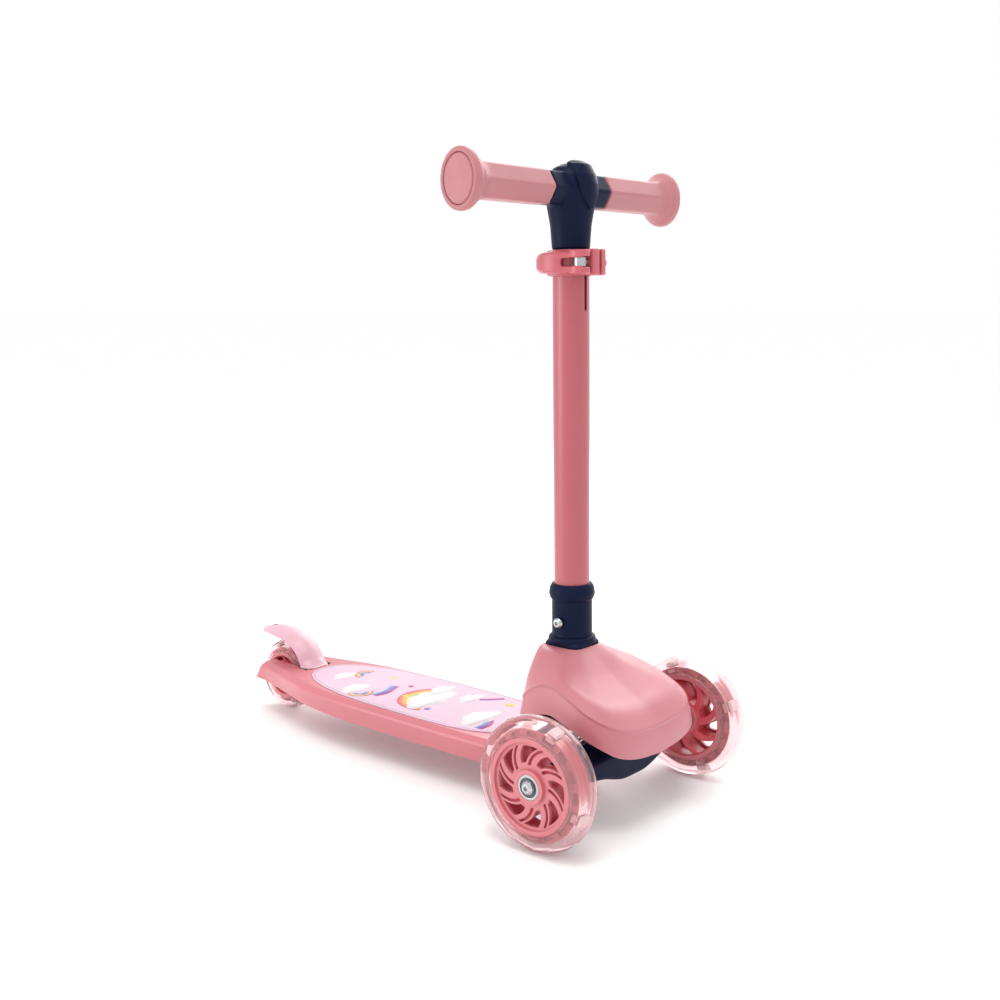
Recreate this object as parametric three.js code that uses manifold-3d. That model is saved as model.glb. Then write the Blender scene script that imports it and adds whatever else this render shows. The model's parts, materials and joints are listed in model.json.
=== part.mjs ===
// A small child's three-wheel kick scooter that steers by leaning.
// Millimetres, +Z up. The scooter faces -Y and +X is the rider's left. The origin is the middle of
// the scooter's footprint on the ground. Inside the group, y is measured back from the front axle.

import * as THREE from "three";
import { mergeVertices } from "three/addons/utils/BufferGeometryUtils.js";
import Module from "manifold-3d";

const wasm = await Module();
wasm.setup();

// ---- Driving dimensions -------------------------------------------------------------------------

const FRONT_AXLE_TO_CENTRE = 222.65; // from the front axle back to the middle of the footprint
const GAP = 0.3; // between pieces that rest on each other
const SIMPLIFY = 0.01; // slivers finer than this are merged away

const FRONT_WHEEL = { x: 120, radius: 60, width: 28, rim: 43, band: 49.5, windows: 10, segments: 24 };
const REAR_WHEEL = { y: 465.3, radius: 40, width: 24, rim: 27, band: 31, windows: 8, segments: 24 };
const BEARING = { outer: 11, bore: 4, width: 7 }; // the standard 608 size, as radii
const AXLE_RADIUS = 3.9;

const STEM_RAKE = THREE.MathUtils.degToRad(0.93);
const STEM_FOOT_Y = 53.2; // where the stem's axis meets the ground
const STEM_RADIUS = 16.5;
const STEM_WALL = 1.5;
const STEM_BOTTOM = 84;
const STEM_TOP = 508.6;
const SLOT_BOTTOM = 457.7;
const SLOT_WIDTH = 3.6;

const BAR_HEIGHT = 561.3;
const BAR_RADIUS = 11;
const GRIP = { inner: 40.6, flare: 124, outer: 148.3, flat: 14.4, height: 25.3, depth: 20.4 };
const GRIP_CAP = { height: 20.3, depth: 15.9 }; // half sizes of the oval cap in the grip's end
const TEE_BOTTOM = 509.8;
const INNER_TUBE_RADIUS = 13.5;
const INNER_TUBE_BOTTOM = 300;

const CLAMP = { bottom: 486.7, top: 509.4, radius: 21.5, bolt: 498 };
const LEVER_PIVOT = { x: -20, y: -25 };

const STEER_PIVOT = { y: 5, z: 62 };
const STEER_TILT = THREE.MathUtils.degToRad(50); // the kingpin leans back from upright by this
const BOSS_HALF = 16; // half the length of the kingpin boss
const EAR = { radius: 17, thickness: 4 };
const SPRING = { x: 32, z: -3.3, foot: 12.3, top: 24, radius: 4.4, wire: 0.9, turns: 3 };

const HOOD_WALL = 2.5;
const DECK_TOP = 56.5;
const MAT_THICKNESS = 1.2;
const MAT_RECESS = 0.5;
const BRAKE_PIN = { y: 420, z: 53, radius: 2.5 };

// ---- Finishes -----------------------------------------------------------------------------------

const finish = (color, roughness, metalness) =>
  new THREE.MeshStandardMaterial({ color, roughness, metalness });

const FINISH = {
  shellPink: finish(0xe88c96, 0.38, 0),
  stemPink: finish(0xd0707a, 0.34, 0.25),
  palePink: finish(0xf6c9d4, 0.42, 0),
  gripPink: finish(0xe68c98, 0.62, 0),
  navy: finish(0x262b44, 0.45, 0),
  clear: finish(0xf0c4c8, 0.2, 0),
  mat: finish(0xf3d7e2, 0.55, 0),
  light: finish(0xf2efe8, 0.35, 0),
  steel: finish(0xb4b6b8, 0.3, 1),
  aluminium: finish(0xc6c8ca, 0.35, 1),
};

// ---- Solid tools --------------------------------------------------------------------------------

// A closed geometry as a solid: equal corners merged, collapsed faces dropped, faces turned outward.
function solidOf(geometry) {
  const bare = geometry.clone();
  bare.deleteAttribute("normal");
  bare.deleteAttribute("uv");
  const merged = mergeVertices(bare, 1e-4);
  const corners = merged.index.array;
  const kept = [];
  const flipped = [];
  for (let i = 0; i < corners.length; i += 3) {
    const [a, b, c] = [corners[i], corners[i + 1], corners[i + 2]];
    if (a === b || b === c || c === a) continue;
    kept.push(a, b, c);
    flipped.push(a, c, b);
  }
  const vertProperties = merged.attributes.position.array;
  const wrap = (list) =>
    new wasm.Manifold(
      new wasm.Mesh({ numProp: 3, vertProperties, triVerts: new Uint32Array(list) }),
    );
  const solid = wrap(kept);
  return solid.volume() < 0 ? wrap(flipped) : solid;
}

function geometryOf(solid) {
  const mesh = solid.getMesh();
  const geometry = new THREE.BufferGeometry();
  geometry.setAttribute("position", new THREE.BufferAttribute(mesh.vertProperties.slice(), 3));
  geometry.setIndex(new THREE.BufferAttribute(mesh.triVerts.slice(), 1));
  geometry.computeVertexNormals();
  return geometry;
}

const join = (...pieces) =>
  geometryOf(pieces.map(solidOf).reduce((whole, piece) => whole.add(piece)));

const cut = (body, ...tools) =>
  geometryOf(tools.map(solidOf).reduce((rest, tool) => rest.subtract(tool), solidOf(body)));

const common = (a, b) => geometryOf(solidOf(a).intersect(solidOf(b)));

// ---- Shape helpers ------------------------------------------------------------------------------

// A turned solid about Z from [radius, z] points; a profile off the axis is closed into a ring.
function turned(profile, segments) {
  const points = profile.map(([radius, height]) => new THREE.Vector2(radius, height));
  const onAxis = profile[0][0] === 0;
  if (!onAxis) points.push(points[0].clone());
  return new THREE.LatheGeometry(points, segments).rotateX(Math.PI / 2);
}

// The same about X: the profile's second number runs along +X.
const turnedOnX = (profile, segments) => turned(profile, segments).rotateY(Math.PI / 2);

const rod = (radius, from, to, segments = 20) =>
  turned([[0, from], [radius, from], [radius, to], [0, to]], segments);

const rodOnX = (radius, from, to, segments = 20) =>
  rod(radius, from, to, segments).rotateY(Math.PI / 2);

const ring = (outer, inner, from, to, segments = 24) =>
  turned([[inner, from], [outer, from], [outer, to], [inner, to]], segments);

const ringOnX = (outer, inner, from, to, segments = 24) =>
  ring(outer, inner, from, to, segments).rotateY(Math.PI / 2);

// A box given by its two opposite corners.
function block([x0, y0, z0], [x1, y1, z1]) {
  const geometry = new THREE.BoxGeometry(x1 - x0, y1 - y0, z1 - z0);
  return geometry.translate((x0 + x1) / 2, (y0 + y1) / 2, (z0 + z1) / 2);
}

// A flat outline of [x, y] points, extruded from one height to another.
function plate(points, from, to) {
  const shape = new THREE.Shape(points.map(([x, y]) => new THREE.Vector2(x, y)));
  const geometry = new THREE.ExtrudeGeometry(shape, { depth: to - from, bevelEnabled: false });
  return geometry.translate(0, 0, from);
}

// A solid skinned through rings of equal, even length. Each end is closed like a ladder, with
// rungs from one half of the ring to the other.
function loft(rings) {
  const count = rings[0].length;
  const position = rings.flat().flatMap((p) => [p.x, p.y, p.z]);
  const index = [];
  for (let r = 0; r < rings.length - 1; r++) {
    for (let i = 0; i < count; i++) {
      const [a, b] = [r * count + i, r * count + ((i + 1) % count)];
      index.push(a, b, b + count, a, b + count, a + count);
    }
  }
  const last = (rings.length - 1) * count;
  for (let i = 0; i < count / 2 - 1; i++) {
    const [a, b, c, d] = [i, i + 1, count - 2 - i, count - 1 - i];
    index.push(a, c, b, a, d, c);
    index.push(last + a, last + b, last + c, last + a, last + c, last + d);
  }
  const geometry = new THREE.BufferGeometry();
  geometry.setAttribute("position", new THREE.Float32BufferAttribute(position, 3));
  geometry.setIndex(index);
  return geometry;
}

// A closed band skinned through rings, the last joined back to the first.
function bandOf(rings) {
  const count = rings[0].length;
  const position = rings.flat().flatMap((p) => [p.x, p.y, p.z]);
  const index = [];
  rings.forEach((_, r) => {
    const next = (r + 1) % rings.length;
    for (let i = 0; i < count; i++) {
      const j = (i + 1) % count;
      const [a, b] = [r * count + i, r * count + j];
      const [c, d] = [next * count + j, next * count + i];
      index.push(a, b, c, a, c, d);
    }
  });
  const geometry = new THREE.BufferGeometry();
  geometry.setAttribute("position", new THREE.Float32BufferAttribute(position, 3));
  geometry.setIndex(index);
  return geometry;
}

// A smooth reading of a hand-set table: rows of [key, value, value ...] in rising order of key.
function reading(table, key) {
  const last = table.length - 1;
  if (key <= table[0][0]) return table[0].slice(1);
  if (key >= table[last][0]) return table[last].slice(1);
  const at = table.findIndex((row) => row[0] > key) - 1;
  const [before, from, to, after] = [at - 1, at, at + 1, at + 2].map(
    (i) => table[THREE.MathUtils.clamp(i, 0, last)],
  );
  const t = (key - from[0]) / (to[0] - from[0]);
  return from.slice(1).map((value, i) => {
    const slope = (a, b) => (b[0] > a[0] ? (b[i + 1] - a[i + 1]) / (b[0] - a[0]) : 0);
    const span = to[0] - from[0];
    const [m0, m1] = [slope(before, to) * span, slope(from, after) * span];
    const [a, b] = [value, to[i + 1]];
    const t2 = t * t;
    const t3 = t2 * t;
    return (2 * t3 - 3 * t2 + 1) * a + (t3 - 2 * t2 + t) * m0 + (3 * t2 - 2 * t3) * b + (t3 - t2) * m1;
  });
}

const steps = (from, to, count) =>
  Array.from({ length: count + 1 }, (_, i) => from + ((to - from) * i) / count);

// A helical spring of round wire about Z, with its end turns laid nearly flat.
function coil(radius, wire, from, to, turns) {
  const points = steps(0, 1, turns * 6).map((t) => {
    const angle = t * turns * 2 * Math.PI;
    const rise = THREE.MathUtils.smoothstep(t, 0, 1) * 0.4 + t * 0.6;
    const height = from + wire + (to - from - 2 * wire) * rise;
    return new THREE.Vector3(radius * Math.cos(angle), radius * Math.sin(angle), height);
  });
  const section = new THREE.Shape(
    steps(0, 1, 5)
      .slice(1)
      .map((t) => new THREE.Vector2(wire * Math.cos(t * 2 * Math.PI), wire * Math.sin(t * 2 * Math.PI))),
  );
  const extrudePath = new THREE.CatmullRomCurve3(points);
  return new THREE.ExtrudeGeometry(section, { steps: turns * 6, bevelEnabled: false, extrudePath });
}

// A hexagon nut or bolt head about Z, given across its flats.
const hexagon = (acrossFlats, from, to) =>
  rod(acrossFlats / Math.sqrt(3), from, to, 6).rotateZ(Math.PI / 6);

const scooter = new THREE.Group();
scooter.position.y = -FRONT_AXLE_TO_CENTRE;

function add(parent, name, geometry, material) {
  const solid = solidOf(geometry).simplify(SIMPLIFY);
  const mesh = new THREE.Mesh(geometryOf(solid), material);
  mesh.name = name;
  parent.add(mesh);
}

function groupAt(parent, x, y, z) {
  const group = new THREE.Group();
  group.position.set(x, y, z);
  parent.add(group);
  return group;
}

// Sides of the scooter: the rider's left is +X.
const SIDES = [["left", 1], ["right", -1]];

// ---- Wheels: each is built about X, its outer face towards +X ----------------------------------

function tyre({ radius, width, rim, band }, segments) {
  const half = width / 2;
  const groove = band + 6.3;
  const seat = (rim + GAP) / Math.cos(Math.PI / segments); // clears the hub between corners
  const crown = [
    [seat, half - 1],
    [radius - 8, half],
    [radius - 2.6, half - 4.6],
    [radius, half - 10],
  ];
  const outside = [...crown, ...crown.map(([r, x]) => [r, -x]).reverse()];
  const inside = [
    [seat, -7.4],
    [groove, -7.4],
    [groove, 7.4],
    [seat, 7.4],
  ];
  return turnedOnX([...outside, ...inside], segments);
}

// The hub: bearing boss, web with swirled windows and ribs, rim and the embedded band.
function hub({ width, rim, band, windows }) {
  const half = width / 2;
  const boss = 15.5;
  const floor = rim - 4.4;
  const seat = BEARING.outer + 0.25;
  const outerHalf = [
    [band, 6.4],
    [rim, 6.4],
    [rim, half - 2],
    [floor, half - 2],
    [floor, 3],
    [boss, 3],
    [boss, half - 0.8],
    [seat, half - 0.8],
    [seat, half - 8.2],
    [8, half - 8.2],
  ];
  const innerHalf = outerHalf.map(([radius, x]) => [radius, -x]).reverse();
  const body = turnedOnX([...innerHalf, ...outerHalf], 16);
  const swirl = (angle, radius) => angle + (0.75 * (radius - boss)) / (floor - boss);
  const arc = (start, from, to) =>
    steps(from, to, 2).map((radius) => {
      const angle = swirl(start, radius);
      return [radius * Math.cos(angle), radius * Math.sin(angle)];
    });
  const pitch = (2 * Math.PI) / windows;
  const cutters = [];
  const ribs = [];
  for (let i = 0; i < windows; i++) {
    const start = i * pitch;
    if (i % 2 === 0) {
      const near = arc(start + 0.3 * pitch, boss + 3, floor - 4);
      const far = arc(start + 0.85 * pitch, boss + 3, floor - 4);
      cutters.push(plate([...near, ...far.reverse()], -8, 8).rotateY(Math.PI / 2));
    }
    const side = arc(start, boss - 1, floor + 1);
    const other = arc(start + 0.14 * pitch, boss - 1, floor + 1);
    ribs.push(plate([...side, ...other.reverse()], -half + 4, half - 4).rotateY(Math.PI / 2));
  }
  return join(cut(body, ...cutters), ...ribs);
}

// The strip that carries the four light modules, in the hollow between the hub's band and the tyre.
function lightStrip({ band }) {
  const strip = ringOnX(band + 2.1, band + 0.5, -3, 3, 16);
  const module = block([-6, -6, band + 0.9], [6, 6, band + 5.4]);
  const modules = [0, 1, 2, 3].map((i) => module.clone().rotateX(((i + 0.5) * Math.PI) / 2));
  return join(strip, ...modules);
}

const bearing = (from) =>
  ringOnX(BEARING.outer, BEARING.bore, from, from + BEARING.width, 16);

// A whole wheel; outward is +1 where the outer face looks along +X and -1 where it looks along -X.
function addWheel(parent, prefix, suffix, wheel, outward) {
  const half = wheel.width / 2;
  const group = new THREE.Group();
  if (outward < 0) group.rotation.z = Math.PI;
  parent.add(group);
  add(group, `${prefix}_tyre${suffix}`, tyre(wheel, wheel.segments), FINISH.clear);
  add(group, `${prefix}_hub${suffix}`, hub(wheel), FINISH.shellPink);
  add(group, `${prefix}_light_strip${suffix}`, lightStrip(wheel), FINISH.light);
  const seat = half - 8;
  add(group, `${prefix}_bearing_outer${suffix}`, bearing(seat), FINISH.steel);
  add(group, `${prefix}_bearing_inner${suffix}`, bearing(-seat - BEARING.width), FINISH.steel);
  const sleeve = ringOnX(6, BEARING.bore + 0.1, -seat + GAP, seat - GAP, 12);
  add(group, `${prefix}_bearing_sleeve${suffix}`, sleeve, FINISH.steel);
}

// ---- Truck: the beam that carries the front wheels ----------------------------------------------

const steering = groupAt(scooter, 0, STEER_PIVOT.y, STEER_PIVOT.z);
steering.rotation.x = STEER_TILT;

// Puts a geometry made about the kingpin (its Z along the pin) where it stands on the scooter.
const aboutKingpin = (geometry) =>
  geometry.rotateX(STEER_TILT).translate(0, STEER_PIVOT.y, STEER_PIVOT.z);

// Beam sections across X: [x, half depth along Y, bottom, top].
const BEAM_SECTIONS = [
  [0, 20, 36.5, 73],
  [16, 20, 37, 73],
  [30, 20, 40.5, 72],
  [42, 19.5, 44, 69.5],
  [56, 18.5, 46, 67.5],
  [80, 16, 48.5, 67],
  [103, 13, 50, 67.5],
];
const BEAM_END = 103;
const BOLT_REACH = 86; // how far the axle bolts run into the beam

function beamSection(x) {
  const [depth, bottom, top] = reading(BEAM_SECTIONS, Math.abs(x));
  const corner = 7;
  const points = [];
  for (const [cy, cz, start] of [
    [depth - corner, top - corner, 0],
    [-depth + corner, top - corner, 1],
    [-depth + corner, bottom + corner, 2],
    [depth - corner, bottom + corner, 3],
  ]) {
    for (const turn of [0.1, 0.9]) {
      const angle = ((start + turn) * Math.PI) / 2;
      points.push(new THREE.Vector3(x, cy + corner * Math.cos(angle), cz + corner * Math.sin(angle)));
    }
  }
  return points;
}

function beam() {
  const stations = [-103, -56, -42, -30, -16, 0, 16, 30, 42, 56, 103];
  const bar = loft(stations.map(beamSection));
  const axleHeight = FRONT_WHEEL.radius;
  const stubs = SIDES.map(([, side]) =>
    ringOnX(6.5, 2, BEAM_END - 1, FRONT_WHEEL.x - 13 - GAP, 12)
      .scale(side, 1, 1)
      .translate(0, 0, axleHeight),
  );
  const bores = SIDES.map(([, side]) =>
    rodOnX(AXLE_RADIUS + 0.4, BOLT_REACH - 2, 110, 12)
      .scale(side, 1, 1)
      .translate(0, 0, axleHeight),
  );
  const nutPockets = SIDES.map(([, side]) =>
    block([88, -7, 40], [95.4, 7, axleHeight + 8]).scale(side, 1, 1),
  );
  const pinBore = aboutKingpin(rod(5.2, -60, 60, 12));
  const upper = aboutKingpin(rod(EAR.radius + 2.5, BOSS_HALF, 70, 16));
  const lower = aboutKingpin(rod(EAR.radius + 2.5, -70, -BOSS_HALF, 16));
  const seats = aboutKingpin(block([-48, SPRING.foot - 0.3, -60], [48, 60, 60]));
  const swingRoom = aboutKingpin(block([-17, 10, -60], [17, 60, 60]));
  const rooms = [pinBore, upper, lower, seats, swingRoom];
  return cut(join(bar, ...stubs), ...bores, ...nutPockets, ...rooms);
}

add(scooter, "truck_beam", beam(), FINISH.navy);

for (const [suffix, side] of SIDES) {
  const wheel = groupAt(scooter, side * FRONT_WHEEL.x, 0, FRONT_WHEEL.radius);
  addWheel(wheel, "front", `_${suffix}`, FRONT_WHEEL, side);

  // The bolt: button head outside the outer bearing, shank through the wheel into the beam.
  const face = FRONT_WHEEL.x + 13 + GAP;
  const shank = rodOnX(AXLE_RADIUS, BOLT_REACH, face + 1, 16);
  const head = turnedOnX([[0, face], [6.6, face], [6.2, face + 2], [4.6, face + 3.4], [0, face + 3.4]], 16);
  const socket = hexagon(4, face + 1.4, face + 5).rotateY(Math.PI / 2);
  const bolt = cut(join(shank, head), socket).scale(side, 1, 1);
  add(groupAt(scooter, 0, 0, FRONT_WHEEL.radius), `front_axle_bolt_${suffix}`, bolt, FINISH.steel);

  const nut = cut(hexagon(13, 88.4, 95), rod(AXLE_RADIUS + 0.1, 80, 100, 16));
  nut.rotateY(Math.PI / 2).scale(side, 1, 1);
  add(groupAt(scooter, 0, 0, FRONT_WHEEL.radius), `front_axle_nut_${suffix}`, nut, FINISH.steel);
}

// The steering bracket: two ears round the kingpin boss, a back plate, a spring seat and a base
// that bolts to the front of the head block.
const BRACKET_FACE = 35.7; // y of the bracket's rear face
const BRACKET_SCREW_X = 16.9;
function bracket() {
  const earFrom = BOSS_HALF + 1;
  const earTo = earFrom + EAR.thickness;
  const ears = [-1, 1].map((end) => rod(EAR.radius, end * earFrom, end * earTo, 16));
  const back = block([-12, 13, -earTo], [12, 19, earTo]);
  const arm = block([-12, 15, -12], [12, 50, 12]);
  const springSeat = block([-42, SPRING.top + 0.3, -12], [42, SPRING.top + 4.3, 5]);
  const head = join(...ears, back, arm, springSeat);
  const clearance = rod(BOSS_HALF - 1.5, -BOSS_HALF - 1, BOSS_HALF + 1, 16);
  const pinBore = rod(5.2, -60, 60, 12);
  const placed = aboutKingpin(cut(head, clearance, pinBore));
  const base = block([-21.7, 28, 60], [21.7, BRACKET_FACE, 104]);
  const behind = block([-60, BRACKET_FACE, 0], [60, 90, 200]);
  const holes = [-BRACKET_SCREW_X, BRACKET_SCREW_X].map((x) =>
    rod(3.3, 20, 40, 12).rotateX(-Math.PI / 2).translate(x, 0, 96),
  );
  return cut(join(placed, base), behind, ...holes);
}
add(scooter, "steering_bracket", bracket(), FINISH.aluminium);

// The kingpin, with its head above and its nut below, and the two centring springs.
function kingpin() {
  const seat = BOSS_HALF + 1 + EAR.thickness + GAP;
  return join(rod(4.8, -seat - 5, seat + 1, 16), rod(8, seat, seat + 5, 16));
}
add(steering, "kingpin", kingpin(), FINISH.steel);
const kingpinNutTop = -(BOSS_HALF + 1 + EAR.thickness + GAP);
const kingpinNut = cut(hexagon(15, kingpinNutTop - 4.6, kingpinNutTop), rod(5, -40, 0, 16));
add(steering, "kingpin_nut", kingpinNut, FINISH.steel);

for (const [suffix, side] of SIDES) {
  const spring = coil(SPRING.radius, SPRING.wire, SPRING.foot + 0.1, SPRING.top, SPRING.turns);
  spring.rotateX(-Math.PI / 2).translate(side * SPRING.x, 0, SPRING.z);
  add(steering, `steering_spring_${suffix}`, spring, FINISH.steel);
}

// ---- Head block and hood ------------------------------------------------------------------------

const stem = groupAt(scooter, 0, STEM_FOOT_Y, 0);
stem.rotation.x = -STEM_RAKE;
const onStem = (geometry) => geometry.rotateX(-STEM_RAKE).translate(0, STEM_FOOT_Y, 0);

const HEAD_BLOCK = { half: 22, front: 36, back: 75.4, bottom: DECK_TOP + GAP, top: 136.5 };
function headBlock() {
  const { half, front, back, bottom, top } = HEAD_BLOCK;
  const body = block([-half, front, bottom], [half, back, top]);
  const foot = block([-30, front + 2, bottom], [30, back - 1, bottom + 7]);
  const bore = onStem(rod(STEM_RADIUS + GAP, STEM_BOTTOM - GAP, 200, 24));
  const cross = onStem(rodOnX(3.3, -60, 60, 12).translate(0, 0, 108));
  const screwHoles = [-BRACKET_SCREW_X, BRACKET_SCREW_X].map((x) =>
    rod(2.6, 30, 37.4, 12).rotateX(-Math.PI / 2).translate(x, 0, 96),
  );
  const footHole = rod(3.8, 50, 80, 12).translate(0, 57, 0);
  return cut(join(body, foot), bore, cross, ...screwHoles, footHole);
}
add(scooter, "head_block", headBlock(), FINISH.navy);

// The cross bolt that pins the stem in the head block, under the hood.
const crossBolt = join(rodOnX(3, -23, 21.6, 12), rodOnX(5, -26, -22.3, 16));
add(groupAt(stem, 0, 0, 108), "head_cross_bolt", crossBolt, FINISH.steel);

// The two screws of the steering bracket run back into the head block.
for (const [suffix, side] of SIDES) {
  const screw = join(rod(2.4, 27, 37, 12), rod(4.6, 24.6, 27.7, 16));
  screw.rotateX(-Math.PI / 2);
  const place = groupAt(scooter, side * BRACKET_SCREW_X, 0, 96);
  add(place, `bracket_screw_${suffix}`, screw, FINISH.steel);
}

// The hood's outline, front to back down one side: an angle round the stem in degrees from
// straight ahead, then x, y, z of the soft ridge and x, y, z of the lower rim.
const HOOD_OUTLINE = [
  [0, 0, -43, 90.5, 0, -45, 65],
  [18, 32, -42.5, 93, 35, -44.5, 68.5],
  [30, 53, -38, 97, 58, -41, 74.5],
  [37, 63, -29, 102.5, 68, -32.5, 81],
  [45, 68, -14, 109, 73, -17, 88],
  [55, 67, 8, 119, 71, 6, 95],
  [68, 62.5, 30, 126, 67, 30, 100.5],
  [85, 60, 50, 122, 64.5, 50, 93],
  [102, 56, 65, 112, 62, 66, 70],
  [118, 47, 76, 103, 52, 79, 57],
  [138, 30, 82, 96, 33, 87, 57],
  [180, 0, 84, 92, 0, 89.5, 57],
];
const HOOD_TOP = 149;
const HOOD_OPENING = 20.4; // half the width of the rounded square opening
const HOOD_BULGE = 1.5; // how far the band below the ridge swells outward

// A rounded square about the stem's axis, as the point at an angle from straight ahead.
function squarePoint(angle, half, power) {
  const [s, c] = [Math.sin(angle), Math.cos(angle)];
  const scale = half / (Math.abs(s) ** power + Math.abs(c) ** power) ** (1 / power);
  return [scale * s, -scale * c];
}

// How far out and how far down the hood runs from its opening to the ridge: [along, out, down],
// first for the sloping nose, then for the steep back.
const NOSE_PROFILE = [
  [0, 0, 0],
  [0.15, 0.13, 0.15],
  [0.35, 0.34, 0.38],
  [0.65, 0.64, 0.62],
  [0.82, 0.81, 0.73],
  [0.92, 0.92, 0.86],
  [1, 1, 1],
];
const BACK_PROFILE = [
  [0, 0, 0],
  [0.15, 0.36, 0.03],
  [0.35, 0.6, 0.2],
  [0.65, 0.82, 0.5],
  [0.82, 0.92, 0.74],
  [0.92, 0.965, 0.88],
  [1, 1, 1],
];

// A point of the hood's outer face: along is 0 at the opening, 1 at the ridge and 2 at the rim.
function hoodPoint(angle, along) {
  const folded = Math.abs(angle);
  const side = Math.sign(angle) || 1;
  const [rx, ry, rz, mx, my, mz] = reading(HOOD_OUTLINE, folded);
  const turn = THREE.MathUtils.degToRad(angle);
  const [ox, oy] = squarePoint(turn, HOOD_OPENING, 5);
  const top = new THREE.Vector3(ox, STEM_FOOT_Y + HOOD_TOP * Math.tan(STEM_RAKE) + oy, HOOD_TOP);
  const ridge = new THREE.Vector3(side * rx, ry, rz);
  const rim = new THREE.Vector3(side * mx, my, mz);
  if (along <= 1) {
    const backward = THREE.MathUtils.smoothstep(folded, 50, 115);
    const [noseOut, noseDown] = reading(NOSE_PROFILE, along);
    const [backOut, backDown] = reading(BACK_PROFILE, along);
    const point = top.clone().lerp(ridge, THREE.MathUtils.lerp(noseOut, backOut, backward));
    const down = THREE.MathUtils.lerp(noseDown, backDown, backward);
    point.z = THREE.MathUtils.lerp(top.z, ridge.z, down);
    return point;
  }
  const t = along - 1;
  const point = ridge.clone().lerp(rim, t);
  const out = new THREE.Vector3(Math.sin(turn), -Math.cos(turn), 0);
  return point.addScaledVector(out, HOOD_BULGE * Math.sin(Math.PI * t));
}

const HOOD_SIDE_ANGLES = [10, 18, 24, 30, 37, 45, 55, 68, 85, 102, 118, 138, 160];
const HOOD_ANGLES = [
  ...HOOD_SIDE_ANGLES.map((angle) => -angle).reverse(),
  0,
  ...HOOD_SIDE_ANGLES,
  180,
];
const HOOD_OUTSIDE = [0, 0.15, 0.4, 0.7, 0.93, 1.1, 1.5, 2];
const HOOD_INSIDE = [2, 1.1, 0.93, 0.5, 0.15, 0];

function hoodNormal(angle, along) {
  const [a0, a1] = [angle - 1, angle + 1];
  const [t0, t1] = [Math.max(0, along - 0.02), Math.min(2, along + 0.02)];
  const across = hoodPoint(a1, along).sub(hoodPoint(a0, along));
  const down = hoodPoint(angle, t1).sub(hoodPoint(angle, t0));
  return down.cross(across).normalize();
}

function hood() {
  const ringAt = (along, inset) =>
    HOOD_ANGLES.map((angle) => {
      const point = hoodPoint(angle, along);
      return inset ? point.addScaledVector(hoodNormal(angle, along), -inset) : point;
    });
  const outside = HOOD_OUTSIDE.map((along) => ringAt(along, 0));
  const inside = HOOD_INSIDE.map((along) => ringAt(along, HOOD_WALL));
  const shell = bandOf([...outside, ...inside]);
  const deckPlane = block([-120, 20, 0], [120, 200, DECK_TOP + GAP]);
  const passage = onStem(
    loft([120, HOOD_TOP + 6].map((z) =>
      HOOD_ANGLES.map((angle) => {
        const [x, y] = squarePoint(THREE.MathUtils.degToRad(angle), HOOD_OPENING, 5);
        return new THREE.Vector3(x, y, z);
      }),
    )),
  );
  return cut(shell, deckPlane, passage);
}
add(scooter, "hood", hood(), FINISH.shellPink);

// ---- Deck ---------------------------------------------------------------------------------------

// Deck stations back from the front axle: [y, half width, top, bottom, draft of each side].
const DECK_STATIONS = [
  [37, 46, 56.5, 36, 5.5],
  [60, 58, 56.5, 33, 5.5],
  [100, 64, 56.5, 32.5, 5.5],
  [150, 65.5, 56.5, 32, 5.5],
  [290, 65.5, 56.5, 32, 5.5],
  [340, 63, 56.5, 32, 5.5],
  [380, 57, 56.8, 32.3, 5],
  [410, 48.5, 57.2, 33, 4],
  [440, 40, 57.8, 34.5, 2.5],
  [474, 33.5, 58.6, 37.5, 1],
];
const TAIL_LEAN = 0.62; // how far the tail's end face slopes back for each millimetre down

function deckSection(y) {
  const [half, roof, bottom, draft] = reading(DECK_STATIONS, y);
  const foot = half - draft;
  const side = [
    [foot - 3, bottom],
    [foot, bottom + 2.6],
    [half - 0.5, roof - 6.5],
    [half - 1.4, roof - 3.4],
    [half - 4.5, roof - 1],
    [half - 9, roof],
  ];
  const outline = [...side, ...side.map(([x, z]) => [-x, z]).reverse()];
  const lean = y >= 474 ? TAIL_LEAN : 0;
  return outline.map(([x, z]) => new THREE.Vector3(x, y + lean * (roof - z), z));
}

const MAT_OUTLINE = [
  [0, 408],
  [14, 405.5],
  [26, 397.5],
  [37, 381],
  [46, 356],
  [53, 322],
  [56, 280],
  [56.5, 200],
  [54.5, 165],
  [50, 140],
  [41, 120],
  [24, 106],
  [0, 101],
];

// The mat's outline drawn in by an inset, as points round from the tail.
function matOutline(inset) {
  const side = MAT_OUTLINE.map(([x, y]) => {
    const reach = Math.hypot(x, y - 280);
    const scale = (reach - inset) / reach;
    return [x * scale, 280 + (y - 280) * scale];
  });
  return [...side, ...side.slice(1, -1).map(([x, y]) => [-x, y]).reverse()];
}

// Hollows between the ribs under the deck: [front, back, half width].
const DECK_POCKETS = [
  [86, 164, 55],
  [168, 246, 57],
  [250, 328, 56],
  [332, 398, 43],
];

const FORK_HALF = 14.5;
const FORK_FRONT = 412;

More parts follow.
